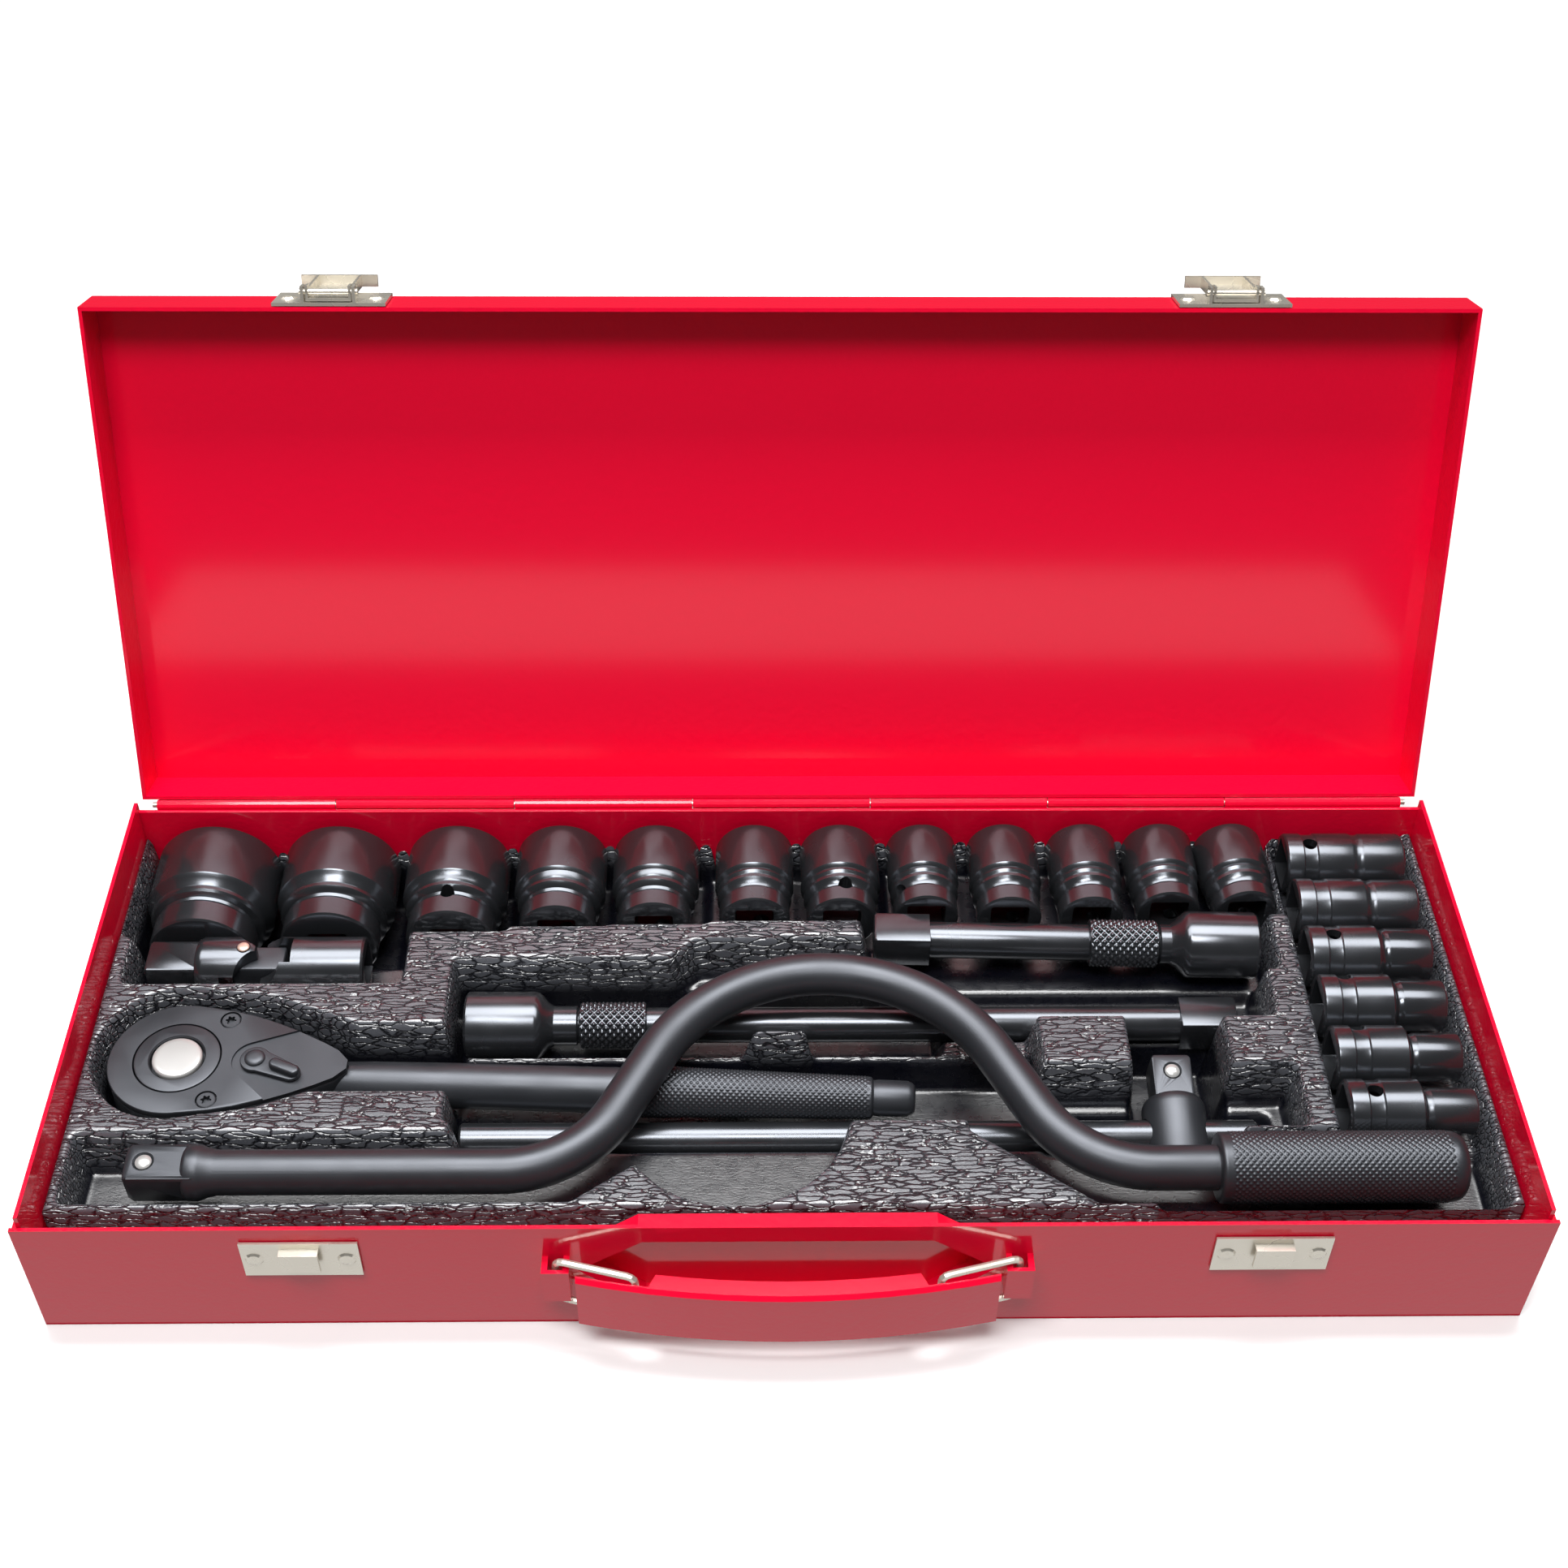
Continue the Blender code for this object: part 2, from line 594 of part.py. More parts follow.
def tray_pockets():
    """Every hollow of the tray, in mm: the sockets' troughs first, then the tools' beds."""
    pockets = []
    edges = [-214.9]
    for (_, od, _, _, x), (_, next_od, _, _, next_x) in zip(ROW_SOCKETS, ROW_SOCKETS[1:]):
        edges.append((x + od / 2 + next_x - next_od / 2) / 2)
    edges.append(168.0)
    for (_, od, _, length, _), left, right in zip(ROW_SOCKETS, edges, edges[1:]):
        front = ROW_END_Y / MM - length - 1.7
        floor = (row_axis_z(od) - REST) / MM - od / 2
        pockets.append(box_pocket(left - 0.1, right + 0.1, front, TRAY_BACK / MM + 3, floor))
    column_low = (COLUMN_Z - COLUMN_R - REST) / MM
    pockets.append(box_pocket(169.0, 213.3, -47, 81.8, column_low))
    pockets.append(box_pocket(-211, -124, 17.8, 41.6, (UJ_Z - UJ_R - REST) / MM))
    # ratchet: head, neck and the well under its drive square
    x, y = RATCHET.x / MM, RATCHET.y / MM
    head = [(x + dx / MM, y + dy / MM) for dx, dy in grown(teardrop(), 2.6 * MM)]
    pockets.append(shaped_pocket(head, 14.1))
    pockets.append(round_pocket(x, y, 12, 2.6))
    pockets.append(box_pocket(x + 40, -102, y - 14, y + 9, 14.1))
    # the open well that the ratchet's grip, the T-bar and the curved handle share
    pockets.append(box_pocket(-103, 79, -37.2, -6.2, 12.2))
    pockets.append(shaped_pocket([(-103, -8), (-8, -8), (-14, -1), (-103, -1)], 25))
    pockets.append(shaped_pocket([(8, -8), (79, -8), (79, 3.9), (8, 3.9)], 25))
    # long and short extension
    pockets.append(box_pocket(-105.5, 50, -2.2, 25.4, 12.4))
    pockets.append(shaped_pocket([(-38, 24), (50, 24), (50, 31), (24, 34.5), (-28, 33)], 22))
    pockets.append(box_pocket(27.5, 160, 22.9, 46, 21.9))
    pockets.append(box_pocket(49, 155, 3.6, 24, 17.6))
    # T-bar: its rod, its head, and the shelf either side of the head
    pockets.append(box_pocket(78, 151, -37.2, -24.8, 12.2))
    pockets.append(box_pocket(109.5, 137.5, -45, 5, 5.2))
    pockets.append(box_pocket(80, 158, -40, -19, 20))
    # curved handle: left leg, flank, right leg and grip, and the finger scallop
    pockets.append(box_pocket(-213, -84, -66.4, -44.5, 22))
    pockets.append(shaped_pocket([(-85, -66.4), (-64, -66.4), (-30, -42), (-30, -35), (-85, -35)], 22))
    pockets.append(shaped_pocket([(-101, -46), (-84, -46), (-84, -36), (-101, -36)], 22))
    pockets.append(shaped_pocket([(57, -42), (92, -68), (118, -68), (112, -36), (57, -36)], 22))
    pockets.append(box_pocket(110, 213, -69.2, -44, 22))
    scallop = [(-51, -36)] + arc(-16, -34, 34.5, math.radians(195), math.radians(345), 12) + [(19, -36)]
    pockets.append(shaped_pocket(scallop, 22))
    return pockets


def make_tray():
    """A thin moulded shell: the block less its pockets, hollowed from below a skin away from them."""
    tray = block(
        (-TRAY_HALF, TRAY_FRONT, TRAY_FOOT), (TRAY_HALF, TRAY_BACK, LAND), "tool_tray", "tray_plastic"
    )
    hollow = block(
        (-TRAY_HALF + SKIN, TRAY_FRONT + SKIN, TRAY_FOOT - MM),
        (TRAY_HALF - SKIN, TRAY_BACK - SKIN, LAND - SKIN),
    )
    pockets = tray_pockets()
    cut(hollow, *(pocket(SKIN, SKIN) for pocket in pockets))
    cut(tray, *(pocket(0, 0) for pocket in pockets))
    cut(tray, hollow)


# ---------------------------------------------------------------- sockets


def make_socket(name, size, od, drive_od, length, place, nut_start=0.5):
    """A socket along local Z from its drive end. The square and the hexagon meet inside."""
    r, rd = od / 2 * MM, drive_od / 2 * MM
    end = length * MM
    step = end * nut_start
    cone = max(abs(r - rd) * 0.9, 0.8 * MM)
    profile = [(0, rd), (step, rd), (step + cone, r), (end, r)]
    body = turned(profile, 16, name, "black_chrome")
    hexagon = size * MM / math.sqrt(3)
    cut(
        body,
        square_bar(SQUARE / 2, -MM, SQUARE_DEPTH, Matrix()),
        turned([(SQUARE_DEPTH - 2 * MM, hexagon), (end + MM, hexagon)], 6),
    )
    body.data.transform(place)
    smooth(body)


def make_sockets():
    for size, od, drive_od, length, x in ROW_SOCKETS:
        place = along_y(x * MM, ROW_END_Y - length * MM, row_axis_z(od))
        if size == ROW_SOCKETS[-1][0]:
            middle = Vector((x * MM, ROW_END_Y - length / 2 * MM, 0))
            place = turn_about(middle, "Z", LAST_ROW_SOCKET_TURN) @ place
        make_socket(f"socket_{size}mm", size, od, drive_od, length, place, 0.42)
    for i, (size, od) in enumerate(COLUMN_SOCKETS):
        place = along_x(COLUMN_X, COLUMN_BACK_Y - i * COLUMN_PITCH, COLUMN_Z)
        length = COLUMN_LENGTH / MM
        make_socket(f"socket_{size}mm", size, od, 2 * COLUMN_R / MM, length, place, 0.57)


# ---------------------------------------------------------------- universal joint


def make_universal_joint():
    """A yoke with a square plug and a yoke with a square socket, both pinned to a centre block."""
    slot_half = 5.2 * MM
    ear = 9.2 * MM
    plug = turned(
        [(-22 * MM, 9.2 * MM), (-19 * MM, UJ_R), (ear - 2 * MM, UJ_R), (ear - 1 * MM, UJ_R - MM)],
        24,
        "ujoint_plug_yoke",
        "black_chrome",
        along_x(UJ_PIN_A_X + 6 * MM, UJ_Y, UJ_Z),
    )
    left = UJ_PIN_A_X - 16 * MM
    square = square_bar(
        SQUARE / 2, -2 * MM, left - UJ_LEFT, Matrix.Translation((left, UJ_Y, UJ_Z))
        @ Matrix.Rotation(-math.pi / 2, 4, "Y"), chamfer=0.8 * MM,
    )
    join(plug, square)
    waist_r = 12 * MM
    waist_gap = 4.6 * MM
    waist = [(-waist_r, waist_r), (waist_r, waist_r)]
    # the plug yoke's ears stand above and below the block, the socket yoke's in front and behind
    cut(
        plug,
        block(
            (UJ_PIN_A_X - 7.5 * MM, UJ_Y - 12 * MM, UJ_Z - slot_half),
            (UJ_PIN_A_X + 20 * MM, UJ_Y + 12 * MM, UJ_Z + slot_half),
        ),
        block(
            (UJ_PIN_A_X + 4 * MM, UJ_Y - 12 * MM, UJ_Z - 12 * MM),
            (UJ_PIN_A_X + 20 * MM, UJ_Y + 12 * MM, UJ_Z + 12 * MM),
        ),
        turned([(0, 2.2 * MM), (30 * MM, 2.2 * MM)], 12,
               place=Matrix.Translation((UJ_PIN_A_X, UJ_Y, UJ_Z - 15 * MM))),
        *(
            turned(waist, 32, place=Matrix.Translation((UJ_PIN_A_X + 4 * MM + waist_gap, UJ_Y + side, UJ_Z)))
            for side in (-waist_r, waist_r)
        ),
    )
    cup = turned(
        [(0, UJ_R - MM), (MM, UJ_R), (35.5 * MM, UJ_R), (36.5 * MM, UJ_R - MM)],
        24,
        "ujoint_socket_yoke",
        "black_chrome",
        along_x(UJ_RIGHT - 36.5 * MM, UJ_Y, UJ_Z),
    )
    cut(
        cup,
        block(
            (UJ_RIGHT - 60 * MM, UJ_Y - slot_half, UJ_Z - 12 * MM),
            (UJ_PIN_B_X + 7.5 * MM, UJ_Y + slot_half, UJ_Z + 12 * MM),
        ),
        block(
            (UJ_RIGHT - 60 * MM, UJ_Y - 12 * MM, UJ_Z - 12 * MM),
            (UJ_PIN_B_X - 3 * MM, UJ_Y + 12 * MM, UJ_Z + 12 * MM),
        ),
        turned([(0, 2.2 * MM), (30 * MM, 2.2 * MM)], 12,
               place=along_y(UJ_PIN_B_X, UJ_Y - 15 * MM, UJ_Z)),
        *(
            turned(waist, 32, place=along_y(UJ_PIN_B_X - 3 * MM - waist_gap, UJ_Y, UJ_Z + side))
            for side in (-waist_r, waist_r)
        ),
        square_bar(SQUARE / 2, -MM, 14 * MM,
                   Matrix.Translation((UJ_RIGHT, UJ_Y, UJ_Z)) @ Matrix.Rotation(-math.pi / 2, 4, "Y")),
    )
    half = slot_half - GAP
    centre = block(
        (UJ_PIN_A_X - 4.6 * MM, UJ_Y - half, UJ_Z - half),
        (UJ_PIN_B_X + 4.6 * MM, UJ_Y + half, UJ_Z + half),
        "ujoint_centre_block",
        "black_steel",
    )
    reach = UJ_R + 0.2 * MM
    pin = [(-reach, 1.9 * MM), (reach, 1.9 * MM)]
    join(
        centre,
        turned(pin, 12, place=Matrix.Translation((UJ_PIN_A_X, UJ_Y, UJ_Z))),
        turned(pin, 12, place=along_y(UJ_PIN_B_X, UJ_Y, UJ_Z)),
    )
    for obj in (plug, cup):
        smooth(obj)


# ---------------------------------------------------------------- extensions and bars


def make_extension(name, length, female_r, knurl_at, rod_r, place):
    """A bar along local Z from its female end, with a knurled band and a male square."""
    female = 23.5 * MM
    profile = [(0, female_r - MM), (MM, female_r), (female, female_r), (female + 5 * MM, rod_r + 0.6 * MM)]
    start, end = knurl_at
    profile += [(start, rod_r + 0.6 * MM), (start, rod_r + 1.6 * MM), (end, rod_r + 1.6 * MM)]
    profile += [(end, rod_r), (length - 19 * MM, rod_r), (length - 17 * MM, rod_r - 0.4 * MM)]
    bar = turned(profile, 16, name, "black_chrome")
    join(bar, square_bar(SQUARE / 2 - 0.1 * MM, length - 18 * MM, length, Matrix(), chamfer=0.8 * MM))
    cut(bar, square_bar(SQUARE / 2, -MM, 15 * MM, Matrix()))
    bar.data.transform(place)
    smooth(bar)


def make_extensions():
    make_extension(
        "extension_long", LONG_RIGHT - LONG_LEFT, 11 * MM, (37 * MM, 58 * MM), 5.75 * MM,
        along_x(LONG_LEFT, LONG_Y, LONG_Z),
    )
    # the short one lies the other way round, its female end to the right
    flip = Matrix.Translation(SHORT_LEFT) @ Matrix.Rotation(SHORT_TURN, 4, "Z")
    flip = flip @ Matrix.Translation((SHORT_LENGTH, 0, 0)) @ Matrix.Rotation(-math.pi / 2, 4, "Y")
    make_extension("extension_short", SHORT_LENGTH, 11 * MM, (33 * MM, 55 * MM), 6 * MM, flip)


def detent_ball(name, place, radius=2.2 * MM):
    """A small domed plug that stands a little out of a drive square's face."""
    profile = [(-2 * MM, radius), (0, radius), (0.5 * MM, radius * 0.8), (0.9 * MM, radius * 0.35)]
    return smooth(turned(profile, 12, name, "bright_steel", place))


def make_tbar():
    rod = [(0, TBAR_R - MM), (MM, TBAR_R), (TBAR_RIGHT - TBAR_LEFT - MM, TBAR_R)]
    rod += [(TBAR_RIGHT - TBAR_LEFT, TBAR_R - MM)]
    smooth(turned(rod, 16, "tbar_rod", "black_chrome", along_x(TBAR_LEFT, TBAR_Y, TBAR_Z)))
    centre = Vector((TBAR_HEAD_X, TBAR_Y, TBAR_Z))
    aim = Matrix.Translation(centre) @ Matrix.Rotation(-math.pi / 2 + TBAR_TILT, 4, "X")
    body = [(-11 * MM, 9 * MM), (-10 * MM, 10 * MM), (9 * MM, 10 * MM), (12 * MM, 8.6 * MM)]
    head = turned(body, 24, "tbar_head", "black_steel", aim)
    join(head, square_bar(SQUARE / 2 - 0.1 * MM, 10 * MM, 26 * MM, aim, chamfer=0.8 * MM))
    hole = TBAR_R + 0.25 * MM
    cut(head, turned([(-20 * MM, hole), (20 * MM, hole)], 16, place=along_x(*centre)))
    ball_seat = aim @ Matrix.Translation((0, -SQUARE / 2 + 0.1 * MM, 20 * MM)) @ Matrix.Rotation(
        math.pi / 2, 4, "X"
    )
    cut(head, turned([(-2.4 * MM, 2.5 * MM), (MM, 2.5 * MM)], 12, place=ball_seat))
    smooth(head)
    detent_ball("tbar_detent_ball", ball_seat)


def curved_route():
    """Points along the curved handle's axis in its own plane: x along the bar, y across it."""
    bend, foot, crown = BAR_BEND, BAR_FOOT_R, BAR_CROWN_R
    half = (foot + crown) * math.sin(bend) + BAR_FLANK * math.cos(bend)
    rise = (foot + crown) * (1 - math.cos(bend)) + BAR_FLANK * math.sin(bend)
    start = BAR_CROWN_X - half
    left = arc(start, foot, foot, -math.pi / 2, -math.pi / 2 + bend, 6)
    top = arc(BAR_CROWN_X, rise - crown, crown, math.pi / 2 + bend, math.pi / 2 - bend, 12)
    right = [(2 * BAR_CROWN_X - x, y) for x, y in reversed(left)]
    return [(BAR_LEFT + 22 * MM, 0), *left, *top, *right, (GRIP_LEFT + 10 * MM, 0)]


def make_curved_handle():
    plane = Matrix.Translation((0, BAR_Y, BAR_Z)) @ Matrix.Rotation(BAR_TILT, 4, "X")
    points = [(x, y, 0) for x, y in curved_route()]
    bar = tube(points, BAR_R, "curved_handle_bar", "black_steel", resolution=2, place=plane)
    collar = [(0, 8.2 * MM), (5 * MM, 8.2 * MM), (9 * MM, BAR_R - 0.2 * MM)]
    join(
        bar,
        turned(collar, 16, place=plane @ along_x(BAR_LEFT + 17.5 * MM, 0, 0)),
        square_bar(
            SQUARE / 2 - 0.1 * MM, -2 * MM, 18.5 * MM,
            plane @ Matrix.Translation((BAR_LEFT + 18.5 * MM, 0, 0)) @ Matrix.Rotation(-math.pi / 2, 4, "Y"),
            chamfer=0.8 * MM,
        ),
    )
    seat = plane @ Matrix.Translation((BAR_LEFT + 6 * MM, 0, SQUARE / 2 - 0.1 * MM))
    cut(bar, turned([(-2.4 * MM, 2.5 * MM), (MM, 2.5 * MM)], 12, place=seat))
    smooth(bar)
    detent_ball("curved_handle_detent_ball", seat)
    grip = [(0, BAR_GRIP_R - MM), (MM, BAR_GRIP_R), (GRIP_RIGHT - GRIP_LEFT - 4 * MM, BAR_GRIP_R)]
    grip += [(GRIP_RIGHT - GRIP_LEFT - MM, BAR_GRIP_R - 1.4 * MM), (GRIP_RIGHT - GRIP_LEFT, BAR_GRIP_R - 4 * MM)]
    sleeve = turned(grip, 24, "curved_handle_grip", "black_steel", plane @ along_x(GRIP_LEFT, 0, 0))
    bore = BAR_R + 0.4 * MM
    cut(sleeve, turned([(-MM, bore), (11 * MM, bore)], 16, place=plane @ along_x(GRIP_LEFT, 0, 0)))
    smooth(sleeve)


# ---------------------------------------------------------------- ratchet


def teardrop(grow=0.0):
    """The ratchet head's outline about the drive axis: a round end that narrows to the neck."""
    radius = HEAD_R + grow
    points = arc(0, 0, radius, math.radians(72), math.radians(288), 16)
    lower = [(0.026, -0.0175), (0.044, -0.0105), (0.052, -0.0072)]
    lower = [(x, y - grow) for x, y in lower]
    return points + lower + [(x, -y) for x, y in reversed(lower)]


def make_ratchet():
    place = Matrix.Translation(RATCHET) @ Matrix.Rotation(RATCHET_TURN, 4, "Z")
    body = prism(teardrop(), HEAD_LOW, HEAD_HIGH, "ratchet_body", "black_steel")
    handle = [
        (44, 6.0), (56, 6.8), (86, 7.1), (134, 7.1), (140, 8.1), (146, 8.3), (205, 6.9),
        (218, 6.5), (219, 5.8), (229, 5.6), (230.5, 4.6),
    ]
    profile = [(z * MM, r * MM) for z, r in handle]
    join(body, turned(profile, 20, place=along_x(0, 0, HANDLE_Z)))
    gear_room = 15.8 * MM
    cut(
        body,
        turned([(HEAD_LOW + 3.4 * MM, gear_room), (HEAD_HIGH + MM, gear_room)], 24),
        turned([(HEAD_LOW - MM, 10.6 * MM), (HEAD_LOW + 5 * MM, 10.6 * MM)], 24),
        block((0.014, -0.0085, HEAD_LOW + 3.4 * MM), (0.034, 0.0085, HEAD_HIGH + MM)),
    )
    cover = prism(teardrop(), COVER_LOW, COVER_HIGH, "ratchet_cover", "black_steel")
    screws = ((0.0135, 0.0158), (0.0125, -0.0158))
    cut(
        cover,
        turned([(COVER_LOW - MM, 13.7 * MM), (COVER_HIGH + MM, 13.7 * MM)], 24),
        turned([(COVER_LOW - MM, 2.6 * MM), (COVER_HIGH + MM, 2.6 * MM)], 12,
               place=Matrix.Translation((0.0245, 0, 0))),
        *(
            turned([(COVER_LOW + 0.6 * MM, 3.3 * MM), (COVER_HIGH + MM, 3.3 * MM)], 12,
                   place=Matrix.Translation((x, y, 0)))
            for x, y in screws
        ),
    )
    # rotor: gear, hub ring seen through the cover, and the drive square below
    rotor = turned(
        [
            (HEAD_LOW - 0.6 * MM, 10.2 * MM), (HEAD_LOW + 3.7 * MM, 10.2 * MM),
            (HEAD_LOW + 3.7 * MM, 13.6 * MM), (HEAD_HIGH - 0.4 * MM, 13.6 * MM),
            (HEAD_HIGH - 0.4 * MM, 13.3 * MM), (COVER_HIGH + 0.2 * MM, 13.3 * MM),
        ],
        24, "ratchet_drive", "black_steel",
    )
    down = Matrix.Rotation(math.pi, 4, "X")
    join(rotor, square_bar(SQUARE / 2 - 0.1 * MM, -HEAD_LOW - MM, -3 * MM, down, chamfer=0.8 * MM))
    cut(
        rotor,
        turned([(COVER_HIGH - 4 * MM, 8.2 * MM), (COVER_HIGH + MM, 8.2 * MM)], 24),
        turned([(7 * MM, 3.2 * MM), (COVER_HIGH, 3.2 * MM)], 12),
    )
    button = turned(
        [
            (9 * MM, 2.8 * MM), (COVER_HIGH - 2 * MM, 2.8 * MM), (COVER_HIGH - 2 * MM, 7.7 * MM),
            (COVER_HIGH + 0.2 * MM, 7.7 * MM), (COVER_HIGH + 0.6 * MM, 7.1 * MM),
        ],
        24, "ratchet_button", "bright_steel",
    )
    pivot = Matrix.Translation((0.0245, 0, 0))
    selector = turned(
        [
            (COVER_LOW - 1.2 * MM, 2.3 * MM), (COVER_HIGH + GAP, 2.3 * MM), (COVER_HIGH + GAP, 4.6 * MM),
            (COVER_HIGH + 1.4 * MM, 4.6 * MM), (COVER_HIGH + 2.4 * MM, 3.4 * MM),
        ],
        16, "ratchet_selector", "black_steel", pivot,
    )
    lever = block((0, -2.6 * MM, COVER_HIGH + GAP), (14 * MM, 2.6 * MM, COVER_HIGH + 1.6 * MM),
                  place=pivot @ Matrix.Rotation(math.radians(-22), 4, "Z"))
    tab = block((8 * MM, -2 * MM, COVER_HIGH + MM), (16 * MM, 2 * MM, COVER_HIGH + 3.6 * MM),
                place=pivot @ Matrix.Rotation(math.radians(-22), 4, "Z"))
    join(selector, lever, tab)
    pawl = block((0.0148, -0.0055, HEAD_LOW + 3.8 * MM), (0.0205, 0.0055, COVER_LOW - 2 * MM),
                 "ratchet_pawl", "bright_steel")
    made = [body, cover, rotor, button, selector, pawl]
    for i, (x, y) in enumerate(screws):
        head = turned([(COVER_LOW + 0.9 * MM, 3 * MM), (COVER_HIGH - 0.1 * MM, 3 * MM)], 12,
                      f"ratchet_screw_{i + 1}", "black_steel", Matrix.Translation((x, y, 0)))
        cut(head, turned([(COVER_HIGH - 1.2 * MM, 1.5 * MM), (COVER_HIGH + MM, 1.5 * MM)], 6,
                         place=Matrix.Translation((x, y, 0))))
        made.append(head)
    for obj in made:
        obj.data.transform(place)
        smooth(obj)


clear_scene()
make_case_base()
make_front_panel()
make_lid()
make_hinge()
make_catches()
make_latches()
make_grip()
make_rings()
make_tray()
make_sockets()
make_universal_joint()
make_extensions()
make_tbar()
make_curved_handle()
make_ratchet()
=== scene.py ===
"""Looks of the socket wrench set in its open steel case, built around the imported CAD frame.

Everything is in metres in the frame's own axes: X along the case, +Y to its hinge, +Z up.
"""

import json
import math

import bmesh
import bpy
import numpy as np
from mathutils import Matrix, Vector
from mathutils.bvhtree import BVHTree

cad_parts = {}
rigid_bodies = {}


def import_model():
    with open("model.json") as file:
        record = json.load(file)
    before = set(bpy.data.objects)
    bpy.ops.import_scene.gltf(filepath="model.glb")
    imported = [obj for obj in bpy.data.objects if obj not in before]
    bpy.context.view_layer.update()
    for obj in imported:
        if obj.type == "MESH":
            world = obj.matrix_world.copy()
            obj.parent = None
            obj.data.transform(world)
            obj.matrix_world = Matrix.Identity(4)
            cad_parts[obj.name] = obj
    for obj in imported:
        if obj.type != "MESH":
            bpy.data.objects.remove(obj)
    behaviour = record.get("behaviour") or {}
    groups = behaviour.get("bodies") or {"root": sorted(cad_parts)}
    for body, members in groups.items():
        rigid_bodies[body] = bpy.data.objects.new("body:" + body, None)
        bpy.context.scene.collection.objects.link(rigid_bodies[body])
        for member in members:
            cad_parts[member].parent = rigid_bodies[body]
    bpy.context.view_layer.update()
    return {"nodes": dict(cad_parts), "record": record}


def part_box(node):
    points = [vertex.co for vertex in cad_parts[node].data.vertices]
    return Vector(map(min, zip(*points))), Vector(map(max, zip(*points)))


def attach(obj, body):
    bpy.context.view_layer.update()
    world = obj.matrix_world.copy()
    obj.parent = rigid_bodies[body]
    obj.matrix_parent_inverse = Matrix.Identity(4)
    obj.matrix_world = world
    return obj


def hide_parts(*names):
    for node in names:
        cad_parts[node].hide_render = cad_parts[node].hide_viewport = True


for start_up in list(bpy.data.objects):
    bpy.data.objects.remove(start_up, do_unlink=True)
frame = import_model()
NODES = frame["nodes"]
BODY_OF = {n: b for b, ns in frame["record"]["behaviour"]["bodies"].items() for n in ns}
SLOT_OF = {s["node"]: s["material_slot"] for s in frame["record"]["subparts"]}

MM = 0.001
DRIVE_HALF = 12.7 / 2 * MM
PLUG_HALF = DRIVE_HALF - 0.1 * MM
QUARTER = math.pi / 2
Z_TO_X = Matrix.Rotation(QUARTER, 4, "Y")

# ---------------------------------------------------------------- camera, light and floor

CAMERA_AT = Vector((-10.6, -438.4, 562.8)) * MM
CAMERA_LENS = 49.38
CAMERA_SENSOR = 36
CAMERA_DOWN = 0.7651
CAMERA_YAW = 0.0217
CAMERA_ROLL = -0.0128

SKY_STRENGTH = 0.24
SKY_IN_REFLECTIONS = 0.05
FLOOR_SIZE = 4
FLOOR_DROP = 0.2 * MM


def make_camera():
    down, yaw = CAMERA_DOWN, CAMERA_YAW
    ahead = Vector((math.sin(yaw) * math.cos(down), math.cos(yaw) * math.cos(down), -math.sin(down)))
    level = Vector((math.cos(yaw), -math.sin(yaw), 0))
    upright = level.cross(ahead)
    right = math.cos(CAMERA_ROLL) * level - math.sin(CAMERA_ROLL) * upright
    up = math.sin(CAMERA_ROLL) * level + math.cos(CAMERA_ROLL) * upright
    lens = bpy.data.cameras.new("camera")
    lens.lens = CAMERA_LENS
    lens.sensor_width = CAMERA_SENSOR
    lens.clip_start = 0.01
    camera = bpy.data.objects.new("camera", lens)
    bpy.context.scene.collection.objects.link(camera)
    camera.matrix_world = Matrix.Translation(CAMERA_AT) @ Matrix((right, up, -ahead)).transposed().to_4x4()
    bpy.context.scene.camera = camera


def area_light(name, at, aim, size, power):
    data = bpy.data.lights.new(name, "AREA")
    data.shape = "RECTANGLE"
    data.size, data.size_y = size
    data.energy = power
    lamp = bpy.data.objects.new(name, data)
    bpy.context.scene.collection.objects.link(lamp)
    lamp.location = at
    lamp.rotation_euler = (Vector(aim) - Vector(at)).to_track_quat("-Z", "Y").to_euler()
    lamp.visible_camera = False


def sheet(name, corners):
    """A flat staged object from its corners."""
    mesh = bpy.data.meshes.new(name)
    mesh.from_pydata([Vector(p) for p in corners], [], [list(range(len(corners)))])
    made = bpy.data.objects.new(name, mesh)
    bpy.context.scene.collection.objects.link(made)
    return made


def level_corners(half, front, back, z):
    return [(-half, front, z), (half, front, z), (half, back, z), (-half, back, z)]


def emitter(name, corners, strength):
    """A glowing card that only reflections see."""
    card = sheet(name, corners)
    glow = bpy.data.materials.new(name)
    glow.use_nodes = True
    tree = glow.node_tree
    tree.nodes.clear()
    light = tree.nodes.new("ShaderNodeEmission")
    light.inputs["Strength"].default_value = strength
    tree.links.new(light.outputs[0], tree.nodes.new("ShaderNodeOutputMaterial").inputs[0])
    card.data.materials.append(glow)
    card.visible_camera = False
    card.visible_shadow = False
    card.visible_diffuse = False


